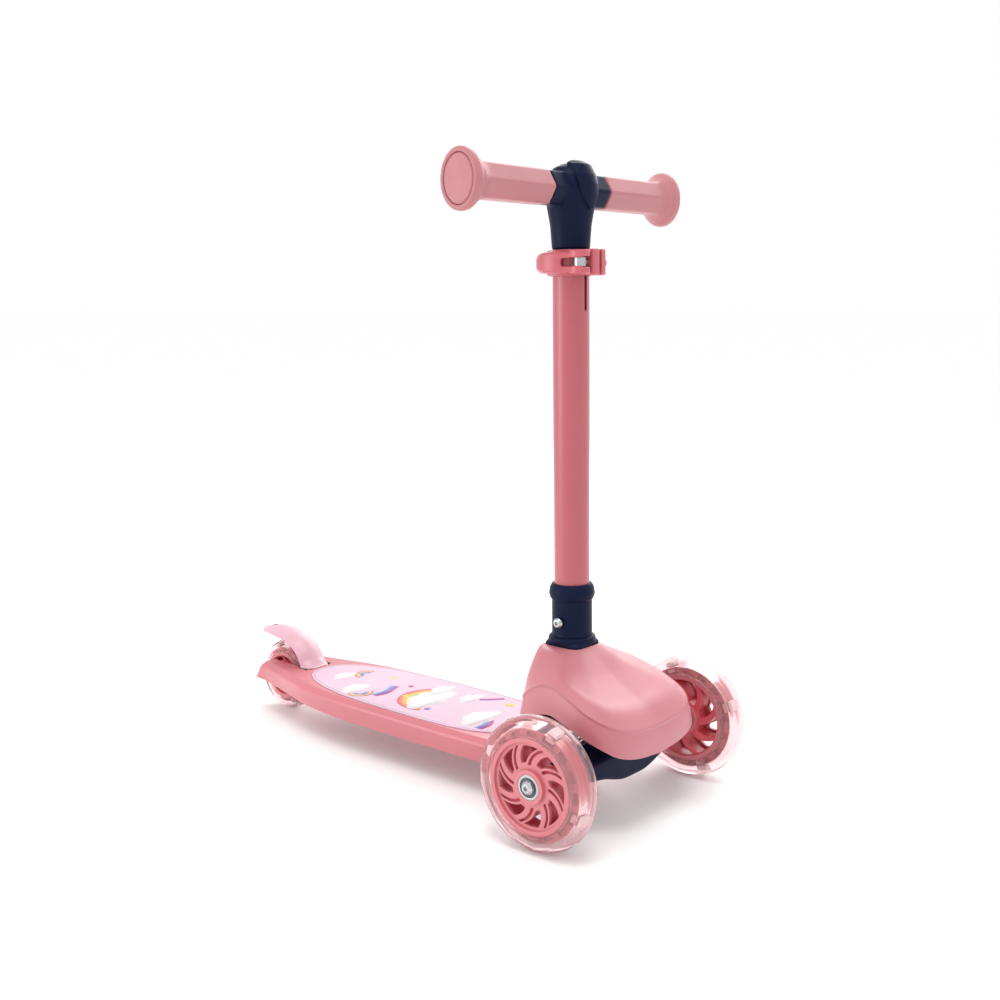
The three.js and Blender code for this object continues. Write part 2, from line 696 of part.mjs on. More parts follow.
function deck() {
  const stations = [37, 60, 100, 150, 290, 340, 380, 410, 440, 474];
  const slab = loft(stations.map(deckSection));
  const matSeat = plate(matOutline(-GAP), DECK_TOP - MAT_RECESS, DECK_TOP + 5);
  const fork = block([-FORK_HALF, FORK_FRONT, 0], [FORK_HALF, 520, 90]);
  const hinge = block([-21.5, FORK_FRONT - 2, 47.5], [21.5, FORK_FRONT + 17, 90]);
  const pinBore = rodOnX(BRAKE_PIN.radius + 0.15, -31, 31, 12).translate(0, BRAKE_PIN.y, BRAKE_PIN.z);
  const axleBore = rodOnX(AXLE_RADIUS + 0.2, -28, 60, 12).translate(0, REAR_WHEEL.y, REAR_WHEEL.radius);
  const headSeat = rodOnX(7.4, 30.3, 60, 14).translate(0, REAR_WHEEL.y, REAR_WHEEL.radius);
  const nutPocket = block([-27.7, REAR_WHEEL.y - 7, 20], [-20.8, REAR_WHEEL.y + 7, 48]);
  const headHole = rod(3.9, 20, 80, 12).translate(0, 57, 0);
  const headSeatBelow = rod(8, 20, 40, 14).translate(0, 57, 0);
  const pockets = [];
  for (const [from, to, outer] of DECK_POCKETS) {
    for (const [left, right] of [[-outer, -2], [2, outer]]) {
      pockets.push(block([left, from, 20], [right, to, DECK_TOP - 4]));
    }
  }
  const bosses = SIDES.map(([, side]) =>
    rodOnX(6.5, REAR_WHEEL.width / 2 - 1 + GAP, FORK_HALF + 1, 12)
      .scale(side, 1, 1)
      .translate(0, REAR_WHEEL.y, REAR_WHEEL.radius),
  );
  const forked = join(cut(slab, matSeat, fork, hinge), ...bosses);
  return cut(forked, pinBore, axleBore, headSeat, nutPocket, headHole, headSeatBelow, ...pockets);
}
add(scooter, "deck", deck(), FINISH.shellPink);

const matFrom = DECK_TOP - MAT_RECESS + GAP;
add(scooter, "deck_mat", plate(matOutline(0), matFrom, matFrom + MAT_THICKNESS), FINISH.mat);

// The screw that holds the head block down, put in from under the deck.
const headScrew = join(rod(3.6, 38, DECK_TOP + 18, 16), rod(7, 36.4, 39.7, 20));
add(groupAt(scooter, 0, 57, 0), "head_screw", headScrew, FINISH.steel);

// ---- Rear wheel and brake -----------------------------------------------------------------------

addWheel(groupAt(scooter, 0, REAR_WHEEL.y, REAR_WHEEL.radius), "rear", "", REAR_WHEEL, 1);
const rearAxle = groupAt(scooter, 0, REAR_WHEEL.y, REAR_WHEEL.radius);
const rearBolt = join(rodOnX(AXLE_RADIUS, -27.4, 31, 16), rodOnX(6.5, 30.6, 33.6, 16));
add(rearAxle, "rear_axle_bolt", cut(rearBolt, hexagon(4, 32, 40).rotateY(Math.PI / 2)), FINISH.steel);
const rearNut = cut(hexagon(13, -27.3, -21.1), rod(AXLE_RADIUS + 0.1, -40, 0, 16));
add(rearAxle, "rear_axle_nut", rearNut.rotateY(Math.PI / 2), FINISH.steel);

// The brake fender's middle line and its side edge: [y, z] of each, front to back, with half width.
const FENDER = [
  [0, 415.5, 58.6, 425, 58.8, 19.5],
  [0.1, 419.5, 65.5, 426, 62, 20],
  [0.26, 427.5, 78, 430.5, 69.5, 20.5],
  [0.44, 439, 88, 440, 79, 20.5],
  [0.62, 456, 94, 456, 85.6, 20.5],
  [0.82, 480, 95.4, 478, 88.5, 19.5],
  [1, 504.7, 90.5, 498, 88.5, 14],
];
const FENDER_WALL = 2.8;

function fender() {
  const pointAt = (along, across) => {
    const [my, mz, ey, ez, half] = reading(FENDER, along);
    const bend = Math.abs(across) ** 2.2;
    return new THREE.Vector3(half * across, my + (ey - my) * bend, mz + (ez - mz) * bend);
  };
  const normalAt = (along, across) => {
    const [t0, t1] = [Math.max(0, along - 0.02), Math.min(1, along + 0.02)];
    const back = pointAt(t1, across).sub(pointAt(t0, across));
    const side = pointAt(along, across + 0.02).sub(pointAt(along, across - 0.02));
    return side.cross(back).normalize();
  };
  const acrossSteps = [-1, -0.75, -0.4, 0.4, 0.75, 1];
  const rings = steps(0, 1, 8).map((along) => {
    const top = acrossSteps.map((across) => pointAt(along, across));
    const under = acrossSteps.map((across) =>
      pointAt(along, across).addScaledVector(normalAt(along, across), -FENDER_WALL),
    );
    return [...top, ...under.reverse()];
  });
  const knuckle = rodOnX(5, -13.6, 13.6, 14).translate(0, BRAKE_PIN.y, BRAKE_PIN.z);
  const web = block([-13.6, BRAKE_PIN.y - 2, BRAKE_PIN.z + 2], [13.6, BRAKE_PIN.y + 4.6, 63.5]);
  const bore = rodOnX(BRAKE_PIN.radius + 0.15, -40, 40, 12).translate(0, BRAKE_PIN.y, BRAKE_PIN.z);
  const springRoom = rodOnX(6.4, -6, 6, 14).translate(0, BRAKE_PIN.y, BRAKE_PIN.z);
  return cut(join(loft(rings), knuckle, web), bore, springRoom);
}
add(scooter, "brake_fender", fender(), FINISH.palePink);

const brakeHinge = groupAt(scooter, 0, BRAKE_PIN.y, BRAKE_PIN.z);
add(brakeHinge, "brake_pin", rodOnX(BRAKE_PIN.radius, -30, 30, 16), FINISH.steel);
add(brakeHinge, "brake_spring", coil(3.9, 0.7, -5.6, 5.6, 4).rotateY(Math.PI / 2), FINISH.steel);

// ---- Stem ---------------------------------------------------------------------------------------

const SOCKET_BOLT = 172;
const socketBore = rodOnX(3.3, -60, 60, 12).translate(0, 0, SOCKET_BOLT);

function stemTube() {
  const tube = ring(STEM_RADIUS, STEM_RADIUS - STEM_WALL, STEM_BOTTOM, STEM_TOP, 24);
  const slot = block([-SLOT_WIDTH / 2, -30, SLOT_BOTTOM], [SLOT_WIDTH / 2, 0, STEM_TOP + 5]);
  const cross = rodOnX(3.3, -60, 60, 12).translate(0, 0, 108);
  return cut(tube, slot, socketBore, cross);
}
add(stem, "stem_tube", stemTube(), FINISH.stemPink);

function stemBushing() {
  const sleeve = ring(STEM_RADIUS - STEM_WALL - 0.15, INNER_TUBE_RADIUS + 0.1, 440, STEM_TOP, 24);
  const slot = block([-1.2, -30, 430], [1.2, 0, STEM_TOP + 5]);
  return cut(sleeve, slot);
}
add(stem, "stem_bushing", stemBushing(), FINISH.navy);

// The socket at the foot of the stem: a bulged ring over a plain barrel.
const socketProfile = [
  [STEM_RADIUS + GAP, 157.8],
  [19.6, 157.8],
  [18.8, 160.5],
  [18.8, 192.4],
  [20.4, 193.4],
  [21.5, 197.7],
  [20.6, 203.4],
  [18.6, 207],
  [STEM_RADIUS + GAP, 207],
];
add(stem, "stem_socket", cut(turned(socketProfile, 20), socketBore), FINISH.navy);

// The skirt that fills the hood's opening: round above, a rounded square below.
function skirt() {
  const circle = (radius, z) =>
    HOOD_ANGLES.map((angle) => {
      const turn = THREE.MathUtils.degToRad(angle);
      return new THREE.Vector3(radius * Math.sin(turn), -radius * Math.cos(turn), z);
    });
  const square = (half, z) =>
    HOOD_ANGLES.map((angle) => {
      const [x, y] = squarePoint(THREE.MathUtils.degToRad(angle), half, 5);
      return new THREE.Vector3(x, y, z);
    });
  const body = loft([square(19.9, 138.2), square(19.9, 149.6), circle(22.2, 154.6), circle(21.2, 157.5)]);
  return cut(body, rod(STEM_RADIUS + GAP, 120, 170, 24));
}
add(stem, "stem_skirt", skirt(), FINISH.navy);

const stemBolt = cut(
  join(rodOnX(3, -19.5, 24, 12), rodOnX(5, -24.2, -19.1, 20)),
  hexagon(5, -30, -21.8).rotateY(Math.PI / 2),
);
add(groupAt(stem, 0, 0, SOCKET_BOLT), "stem_bolt", stemBolt, FINISH.steel);
const stemNut = cut(hexagon(10, 19.1, 24), rod(3.1, 10, 30, 12)).rotateY(Math.PI / 2);
add(groupAt(stem, 0, 0, SOCKET_BOLT), "stem_nut", stemNut, FINISH.steel);

// ---- Clamp and its quick-release lever ----------------------------------------------------------

const boltHeight = CLAMP.bolt;
const boltLine = LEVER_PIVOT.y;

function clampCollar() {
  const { bottom, top, radius } = CLAMP;
  const band = ring(radius, STEM_RADIUS + GAP, bottom, top, 20);
  const lug = block([-10.6, -33, bottom + 1], [8.6, -15, top - 1]);
  const slit = block([-1.6, -50, bottom - 5], [1.6, 0, top + 5]);
  const bore = rod(STEM_RADIUS + GAP, bottom - 5, top + 5, 20);
  const boltBore = rodOnX(3.2, -40, 40, 12).translate(0, boltLine, boltHeight);
  return cut(join(band, lug), slit, bore, boltBore);
}
add(stem, "clamp_collar", clampCollar(), FINISH.shellPink);

// The bolt's left end is a barrel round the lever's pivot pin.
const barrel = rod(5.4, boltHeight - 4, boltHeight + 4, 14).translate(LEVER_PIVOT.x, boltLine, 0);
const clampShank = rodOnX(2.9, LEVER_PIVOT.x, 12.4, 12).translate(0, boltLine, boltHeight);
const pinHole = rod(2.65, 450, 550, 16).translate(LEVER_PIVOT.x, boltLine, 0);
add(stem, "clamp_bolt", cut(join(barrel, clampShank), pinHole), FINISH.steel);

const clampNut = cut(
  turnedOnX([[0, 9], [5.2, 9], [5.2, 12.6], [4, 14.2], [0, 14.6]], 14),
  rodOnX(3, 0, 12.8, 12),
).translate(0, boltLine, boltHeight);
add(stem, "clamp_nut", clampNut, FINISH.shellPink);

const leverPin = rod(2.5, CLAMP.bottom + 1.4, CLAMP.top - 1.4, 16).translate(LEVER_PIVOT.x, boltLine, 0);
add(stem, "clamp_pivot_pin", leverPin, FINISH.steel);

// The lever: a cam round the pivot and a curved arm that hugs the collar to behind the stem.
function clampLever() {
  const [from, to] = [CLAMP.bottom + 1, CLAMP.top - 1];
  const inner = CLAMP.radius + 1.6;
  const polar = (radius, degrees) => {
    const angle = THREE.MathUtils.degToRad(degrees);
    return [radius * Math.cos(angle), radius * Math.sin(angle)];
  };
  // The arm drifts away from the collar towards its free tip.
  const drift = (degrees) => inner + 3.6 * THREE.MathUtils.smoothstep(200 - degrees, 0, 75);
  const outerEdge = steps(231, 124, 9).map((degrees) => {
    const tip = THREE.MathUtils.smoothstep(degrees, 124, 134);
    const root = THREE.MathUtils.smoothstep(degrees, 200, 231);
    return polar(drift(degrees) + 1.4 + 3.1 * tip + 4 * root, degrees);
  });
  const innerEdge = steps(124, 222, 7).map((degrees) => polar(drift(degrees), degrees));
  const arm = plate([...outerEdge, ...innerEdge], from, to);
  const cam = rod(9, from, to, 16).translate(LEVER_PIVOT.x, boltLine, 0);
  const slot = plate(
    [...steps(198, 236, 4).map((degrees) => polar(60, degrees)), [0, 0]],
    boltHeight - 3.4,
    boltHeight + 3.4,
  );
  const window = plate(
    steps(-125, 32, 8)
      .map((degrees) => polar(24, degrees))
      .concat([[0, 0]])
      .map(([x, y]) => [x + LEVER_PIVOT.x, y + boltLine]),
    boltHeight - 4.4,
    boltHeight + 4.4,
  );
  const barrelRoom = rod(6.2, boltHeight - 4.4, boltHeight + 4.4, 14).translate(LEVER_PIVOT.x, boltLine, 0);
  const collarRoom = rod(inner - 0.1, from - 5, to + 5, 24);
  return cut(join(arm, cam), slot, window, barrelRoom, pinHole, collarRoom);
}
add(stem, "clamp_lever", clampLever(), FINISH.shellPink);

// ---- Handlebar ----------------------------------------------------------------------------------

const innerTube = ring(INNER_TUBE_RADIUS, INNER_TUBE_RADIUS - STEM_WALL, INNER_TUBE_BOTTOM, 547.4, 24);
add(stem, "inner_tube", innerTube, FINISH.aluminium);

// The T-joint's outer profile about the stem, opened out by an offset.
const teeProfile = (offset) => [
  [0, TEE_BOTTOM],
  [17 + offset, TEE_BOTTOM],
  [18.5 + offset, 531],
  [21.2 + offset, 546],
  [22.6 + offset, 556],
  [22.4 + offset, 566],
  [20.2 + offset, 574],
  [15.5 + offset, 580.4 + offset],
  [8, 583.9 + offset],
  [0, 584.6 + offset],
];

// A hexagonal sleeve along X with its flats above and below.
const hexOnX = (flat, from, to) =>
  rod(flat / Math.cos(Math.PI / 6), from, to, 6)
    .rotateZ(Math.PI / 6)
    .rotateY(Math.PI / 2)
    .rotateX(Math.PI / 6);

function tee() {
  const body = turned(teeProfile(0), 20);
  const collars = hexOnX(15.3, -40, 40).translate(0, 0, BAR_HEIGHT);
  const stemBore = rod(INNER_TUBE_RADIUS + 0.2, TEE_BOTTOM - 5, 547.7, 20);
  const barBore = rodOnX(BAR_RADIUS + GAP, -60, 60, 18).translate(0, 0, BAR_HEIGHT);
  return cut(join(body, collars), stemBore, barBore);
}
add(stem, "tee_joint", tee(), FINISH.navy);

// The shield-shaped cover on the front of the T-joint.
function teeCover() {
  const shell = cut(turned(teeProfile(2.6), 20), turned([[0, 500], ...teeProfile(GAP)], 20));
  const outline = [
    [0, 541.5],
    [4, 545],
    [9, 552],
    [12.8, 560],
    [14.6, 568],
    [14.3, 577],
    [12.5, 592],
    [-12.5, 592],
    [-14.3, 577],
    [-14.6, 568],
    [-12.8, 560],
    [-9, 552],
    [-4, 545],
  ];
  const prism = plate(outline, 6, 40).rotateX(Math.PI / 2);
  return common(shell, prism);
}
add(stem, "tee_cover", teeCover(), FINISH.navy);

const bar = groupAt(stem, 0, 0, BAR_HEIGHT);
add(bar, "bar_tube", ringOnX(BAR_RADIUS, BAR_RADIUS - 1.5, -142, 142, 18), FINISH.aluminium);

// A grip section: a soft hexagon, flats above and below, that rounds off into an oval flange.
function gripSection(x, height, depth, round) {
  return steps(0, 1, 18)
    .slice(1)
    .map((t) => {
      const angle = t * 2 * Math.PI;
      const sector = Math.PI / 3;
      const offFlat = ((((angle - Math.PI / 2) % sector) + 1.5 * sector) % sector) - sector / 2;
      const hexagonal = Math.min(1 / Math.cos(offFlat), 1.115);
      const reach = THREE.MathUtils.lerp(hexagonal, 1, round);
      const widest = THREE.MathUtils.lerp(1.115, 1, round);
      const y = (depth * reach * Math.cos(angle)) / widest;
      return new THREE.Vector3(x, y, height * reach * Math.sin(angle));
    });
}

function grip() {
  const { inner, flare, outer, flat, height, depth } = GRIP;
  const stations = [
    [inner, flat, flat + 1.6, 0],
    [flare - 3, flat, flat + 1.6, 0],
    [flare + 9, flat + 4.6, flat + 3.4, 0.9],
    [flare + 14, height - 2.2, depth - 1.4, 1],
    [flare + 19, height, depth, 1],
    [outer - 2.4, height, depth, 1],
    [outer, height - 2, depth - 2, 1],
  ];
  const body = loft(stations.map((station) => gripSection(...station)));
  const barBore = rodOnX(BAR_RADIUS + 0.2, 0, outer - 4, 18);
  const oval = GRIP_CAP.depth / GRIP_CAP.height;
  const capSeat = rodOnX(GRIP_CAP.height + 0.5, outer - 3.4, outer + 5, 18).scale(1, oval, 1);
  return cut(body, barBore, capSeat);
}

// The flat oval cap in the end of a grip.
function gripCap() {
  const base = GRIP.outer - 3.1;
  const { height, depth } = GRIP_CAP;
  const [step, face] = [base + 2.1, base + 3.1];
  const profile = [[0, base], [height, base], [height, step], [height - 2, face], [0, face]];
  return turnedOnX(profile, 18).scale(1, depth / height, 1);
}

for (const [suffix, side] of SIDES) {
  add(bar, `grip_${suffix}`, grip().scale(side, 1, 1), FINISH.gripPink);
  add(bar, `grip_cap_${suffix}`, gripCap().scale(side, 1, 1), FINISH.gripPink);
}

export default scooter;
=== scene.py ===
"""A small child's three-wheel kick scooter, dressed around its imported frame.

Shapes are drawn in millimetres in a few local frames and placed in the row frame in metres.
"""

import json
import math

import bmesh
import bpy
from mathutils import Matrix, Vector
from mathutils.geometry import tessellate_polygon


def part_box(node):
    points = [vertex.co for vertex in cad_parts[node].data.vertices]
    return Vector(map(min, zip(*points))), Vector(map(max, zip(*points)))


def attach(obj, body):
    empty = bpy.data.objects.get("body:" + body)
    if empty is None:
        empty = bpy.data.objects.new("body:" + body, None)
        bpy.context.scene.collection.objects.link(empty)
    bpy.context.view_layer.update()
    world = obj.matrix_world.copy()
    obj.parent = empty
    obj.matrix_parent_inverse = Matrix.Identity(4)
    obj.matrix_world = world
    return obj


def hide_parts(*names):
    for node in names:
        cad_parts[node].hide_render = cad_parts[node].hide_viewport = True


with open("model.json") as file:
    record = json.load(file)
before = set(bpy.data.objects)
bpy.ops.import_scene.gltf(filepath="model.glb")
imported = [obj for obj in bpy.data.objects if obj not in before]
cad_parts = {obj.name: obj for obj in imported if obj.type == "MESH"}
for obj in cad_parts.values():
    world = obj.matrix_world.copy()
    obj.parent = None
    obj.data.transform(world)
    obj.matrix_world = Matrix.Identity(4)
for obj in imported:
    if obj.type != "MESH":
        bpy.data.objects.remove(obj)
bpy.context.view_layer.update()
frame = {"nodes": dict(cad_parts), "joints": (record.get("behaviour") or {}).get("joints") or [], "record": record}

MM = 0.001
TAU = 2 * math.pi
GAP = 0.3  # between pieces that rest on each other
SIDES = (("left", 1), ("right", -1))

JOINTS = {joint["name"]: joint for joint in frame["joints"]}


# ---- Local frames ----

def shift(x, y, z):
    return Matrix.Translation((x, y, z))


def turn(degrees, axis):
    return Matrix.Rotation(math.radians(degrees), 4, axis)


def facing(side):
    """Nothing for the left side, a half turn about Z for the right."""
    return turn(180, "Z") if side < 0 else Matrix()


def joint_place(name):
    return Vector(JOINTS[name]["pos_m"]) / MM


AXLE = joint_place("front_left_spin")
REAR_AXLE = joint_place("rear_spin")
STEER = joint_place("lean_steer")
BRAKE = joint_place("brake_press")

# Row frame, but with y measured back from the front axle.
ROOT = shift(0, AXLE.y, 0)

BAR_LOW, BAR_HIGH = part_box("bar_tube")
BAR_MIDDLE = (BAR_LOW + BAR_HIGH) / 2 / MM
STEM_AXIS = Vector(JOINTS["bar_height"]["axis"])
RAKE = math.degrees(math.atan2(STEM_AXIS.y, STEM_AXIS.z))
STEM_FOOT_Y = BAR_MIDDLE.y - BAR_MIDDLE.z * math.tan(math.radians(RAKE))
STEM = shift(0, STEM_FOOT_Y, 0) @ turn(-RAKE, "X")
BAR_HEIGHT = (STEM.inverted() @ BAR_MIDDLE).z
STEM_FOOT = STEM_FOOT_Y - AXLE.y

STEER_AXIS = Vector(JOINTS["lean_steer"]["axis"])
STEER_TILT = math.degrees(math.atan2(-STEER_AXIS.y, STEER_AXIS.z))
KINGPIN = shift(*STEER) @ turn(STEER_TILT, "X")

# Turns a shape drawn in (u, v) and raised along w into one about X: u is Y, v is Z, w is X.
ABOUT_X = Matrix(((0, 0, 1, 0), (1, 0, 0, 0), (0, 1, 0, 0), (0, 0, 0, 1)))
ON_X = turn(90, "Y")  # turns a shape drawn about Z to lie along X


# ---- Number helpers ----

def steps(start, end, count):
    return [start + (end - start) * i / count for i in range(count + 1)]


def mix(a, b, t):
    return a + (b - a) * t


def smooth(value, low, high):
    t = min(1.0, max(0.0, (value - low) / (high - low)))
    return t * t * (3 - 2 * t)


def reading(table, key):
    """A smooth reading of a table: rows of [key, value, value ...] in rising key order."""
    if key <= table[0][0]:
        return list(table[0][1:])
    if key >= table[-1][0]:
        return list(table[-1][1:])
    at = next(i for i, row in enumerate(table) if row[0] > key) - 1
    before, start = table[max(0, at - 1)], table[at]
    end, after = table[at + 1], table[min(len(table) - 1, at + 2)]
    span = end[0] - start[0]
    t = (key - start[0]) / span
    values = []
    for i in range(1, len(start)):
        slope_in = span * (end[i] - before[i]) / (end[0] - before[0])
        slope_out = span * (after[i] - start[i]) / (after[0] - start[0])
        a = (2 * t**3 - 3 * t**2 + 1) * start[i] + (t**3 - 2 * t**2 + t) * slope_in
        b = (3 * t**2 - 2 * t**3) * end[i] + (t**3 - t**2) * slope_out
        values.append(a + b)
    return values


def fillet(points, radius, count=4, closed=True):
    """Rounds the corners of an outline of (a, b) points. A point may carry its own radius third."""
    rounded = []
    total = len(points)
    for i, point in enumerate(points):
        here = Vector(point[:2])
        size = point[2] if len(point) > 2 else radius
        ends = not closed and i in (0, total - 1)
        before = Vector(points[i - 1][:2]) - here
        after = Vector(points[(i + 1) % total][:2]) - here
        if ends or size <= 0 or before.length < 1e-6 or after.length < 1e-6:
            rounded.append((here.x, here.y))
            continue
        corner = before.angle(after)
        if corner > math.radians(176):
            rounded.append((here.x, here.y))
            continue
        reach = min(size / math.tan(corner / 2), before.length * 0.48, after.length * 0.48)
        start = here + before.normalized() * reach
        end = here + after.normalized() * reach
        for t in steps(0, 1, count):
            spot = start * (1 - t) ** 2 + here * (2 * t * (1 - t)) + end * t**2
            rounded.append((spot.x, spot.y))
    return rounded


def polar(radius, degrees):
    angle = math.radians(degrees)
    return (radius * math.cos(angle), radius * math.sin(angle))


# ---- Mesh helpers ----

def mesh_of(points, faces, place=Matrix()):
    """A clean mesh in metres from millimetre points: equal points merged, faces turned outward."""
    mesh = bpy.data.meshes.new("shape")
    mesh.from_pydata([place @ Vector(p) * MM for p in points], [], faces)
    work = bmesh.new()
    work.from_mesh(mesh)
    bmesh.ops.remove_doubles(work, verts=work.verts, dist=1e-6)
    bmesh.ops.dissolve_degenerate(work, edges=work.edges, dist=1e-7)
    wires = [edge for edge in work.edges if not edge.link_faces]
    bmesh.ops.delete(work, geom=wires, context="EDGES")
    bmesh.ops.recalc_face_normals(work, faces=work.faces)
    work.to_mesh(mesh)
    work.free()
    return mesh


def joined(*meshes):
    """One mesh of several."""
    work = bmesh.new()
    for mesh in meshes:
        work.from_mesh(mesh)
        bpy.data.meshes.remove(mesh)
    whole = bpy.data.meshes.new("shape")
    work.to_mesh(whole)
    work.free()
    return whole


def skin(rings, place=Matrix(), closed=False, caps=True, ring=True):
    """A surface through rows of points of equal number.

    closed joins the last row back to the first, ring the end of each row to its start.
    """
    count = len(rings[0])
    points = [p for row in rings for p in row]
    faces = []
    for r in range(len(rings) if closed else len(rings) - 1):
        base, following = r * count, ((r + 1) % len(rings)) * count
        for i in range(count if ring else count - 1):
            j = (i + 1) % count
            faces.append((base + i, base + j, following + j, following + i))
    if caps and not closed:
        faces.append(tuple(reversed(range(count))))
        last = (len(rings) - 1) * count
        faces.append(tuple(range(last, last + count)))
    return mesh_of(points, faces, place)


def lathe(profile, place=Matrix(), segments=96, scale=(1, 1)):
    """A turned shape about Z from (radius, z) points, closed on itself or ending on the axis."""
    rings = []
    for i in range(segments):
        angle = i * TAU / segments
        c, s = scale[0] * math.cos(angle), scale[1] * math.sin(angle)
        rings.append([(r * c, r * s, z) for r, z in profile])
    return skin(rings, place, closed=True)


def mirrored(outline):
    """A closed outline from its right half, given from the middle back to the middle."""
    left = [(-p[0],) + tuple(p[1:]) for p in reversed(outline) if p[0] > 0.01]
    return list(outline) + left


def wound(points, counter_clockwise):
    """The outline, reversed if it goes round the wrong way."""
    area = sum(a[0] * b[1] - b[0] * a[1] for a, b in zip(points, points[1:] + points[:1]))
    return list(points) if (area > 0) == counter_clockwise else list(reversed(points))


def inset(line, distance, closed=True):
    """A line of points moved to its left by a distance."""
    moved = []
    last = len(line) - 1
    for i, (x, y) in enumerate(line):
        before = line[i - 1 if closed else max(0, i - 1)]
        after = line[(i + 1) % len(line) if closed else min(last, i + 1)]
        along = Vector((after[0] - before[0], after[1] - before[1])).normalized()
        moved.append((x - along.y * distance, y + along.x * distance))
    return moved


def plate(outline, low, high, holes=(), edge=0.5, place=Matrix(), edge_low=None):
    """A plate of an outline with holes, from one height to another, its edges rounded."""
    edge_low = edge if edge_low is None else edge_low
    loops = [wound(outline, True)] + [wound(hole, False) for hole in holes]

    def rim(radius, end, inward):
        bend = [math.radians(t) for t in steps(0, 90, 3)] if radius else [math.pi / 2]
        return [
            (radius * (1 - math.sin(a)), end + inward * radius * (1 - math.cos(a))) for a in bend
        ]

    levels = rim(edge_low, low, 1) + rim(edge, high, -1)[::-1]
    points, faces, lows, highs = [], [], [], []
    for loop in loops:
        base, count = len(points), len(loop)
        for distance, height in levels:
            points += [(x, y, height) for x, y in inset(loop, distance)]
        for level in range(len(levels) - 1):
            for i in range(count):
                j = (i + 1) % count
                a, b = base + level * count, base + (level + 1) * count
                faces.append((a + i, a + j, b + j, b + i))
        lows.append(range(base, base + count))
        top = base + (len(levels) - 1) * count
        highs.append(range(top, top + count))
    for index in (lows, highs):
        flat = [i for loop in index for i in loop]
        shapes = [[Vector(points[i]) for i in loop] for loop in index]
        for triangle in tessellate_polygon(shapes):
            faces.append(tuple(flat[i] for i in triangle))
    return mesh_of(points, faces, place)


def rectangle(left, low, right, high):
    return [(left, low), (right, low), (right, high), (left, high)]


def block(low, high, place=Matrix(), edge=0.6):
    """A box with rounded upright edges and softened rims."""
    outline = fillet(rectangle(*low[:2], *high[:2]), edge * 1.5)
    return plate(outline, low[2], high[2], edge=edge, place=place)


def knob(profile, edge, place=Matrix(), segments=72, scale=(1, 1), count=4):
    """A turned shape that starts and ends on the axis, its corners rounded."""
    return lathe(fillet(profile, edge, count, closed=False), place, segments, scale)


def rod(radius, low, high, place=Matrix(), edge=0.4, segments=64):
    return knob([(0, low, 0), (radius, low), (radius, high), (0, high, 0)], edge, place, segments)


def sleeve(outer, inner, low, high, place=Matrix(), edge=0.4, segments=96):
    return lathe(fillet(rectangle(inner, low, outer, high), edge), place, segments)


def hexagon(across_flats, phase=0):
    return [polar(across_flats / math.sqrt(3), phase + 60 * i) for i in range(6)]


def link_object(name, data):
    thing = bpy.data.objects.new(name, data)
    bpy.context.scene.collection.objects.link(thing)
    return thing


def modify(thing, kind, **settings):
    modifier = thing.modifiers.new(kind.lower(), kind)
    for setting, value in settings.items():
        setattr(modifier, setting, value)


def applied(thing):
    """The object's mesh with its modifiers applied; the object is removed."""
    bpy.context.view_layer.update()
    graph = bpy.context.evaluated_depsgraph_get()
    mesh = bpy.data.meshes.new_from_object(thing.evaluated_get(graph))
    bpy.data.objects.remove(thing)
    return mesh


def carve(mesh, *cutters, operation="DIFFERENCE"):
    """The mesh cut by, joined with or limited to closed cutter meshes."""
    thing = link_object("scratch", mesh)
    tools = [link_object("tool", cutter) for cutter in cutters]
    for tool in tools:
        modify(thing, "BOOLEAN", operation=operation, solver="EXACT", object=tool)
    result = applied(thing)
    for tool in tools:
        bpy.data.objects.remove(tool)
    return result


def relax(work, verts, passes):
    for _ in range(passes):
        bmesh.ops.smooth_vert(
            work, verts=verts, factor=0.5, use_axis_x=True, use_axis_y=True, use_axis_z=True
        )


def remeshed(mesh, voxel, passes):
    """One soft skin over a mesh, blended where its bodies meet."""
    thing = link_object("scratch", mesh)
    modify(thing, "REMESH", mode="VOXEL", voxel_size=voxel * MM)
    result = applied(thing)
    work = bmesh.new()
    work.from_mesh(result)
    relax(work, work.verts, passes)
    work.to_mesh(result)
    work.free()
    return result


def sheet(rows, wall, lip, lip_angle, ring=True, passes=0):
    """A surface that faces up, with its wall below it and its sharp edges rounded."""
    mesh = skin(rows, ROOT, caps=False, ring=ring)
    work = bmesh.new()
    work.from_mesh(mesh)
    relax(work, [v for v in work.verts if not v.is_boundary], passes)
    if sum(f.normal.z * f.calc_area() for f in work.faces) < 0:
        bmesh.ops.reverse_faces(work, faces=work.faces)
    work.to_mesh(mesh)
    work.free()
    thing = link_object("scratch", mesh)
    modify(thing, "SOLIDIFY", thickness=wall * MM, offset=-1)
    modify(thing, "BEVEL", limit_method="ANGLE", angle_limit=math.radians(lip_angle),
           width=lip * MM, segments=3)
    return applied(thing)


def piece(name, mesh, body, look, replaces=(), sharp=32, weighted=False):
    """A finished piece of the scooter, riding on its body."""
    slot, material = LOOKS[look]
    mesh.name = name
    thing = link_object(name, mesh)
    mesh.shade_smooth()
    if sharp:
        mesh.set_sharp_from_angle(angle=math.radians(sharp))
    mesh.materials.clear()
    mesh.materials.append(material)
    if weighted:
        modify(thing, "WEIGHTED_NORMAL", keep_sharp=True)
    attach(thing, body)
    if replaces:
        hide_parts(*replaces)


# ---- Materials ----

def linear(rgb):
    """A colour given as it looks on screen, 0 to 255."""
    shares = [value / 255 for value in rgb]
    return [s / 12.92 if s <= 0.04045 else ((s + 0.055) / 1.055) ** 2.4 for s in shares] + [1]


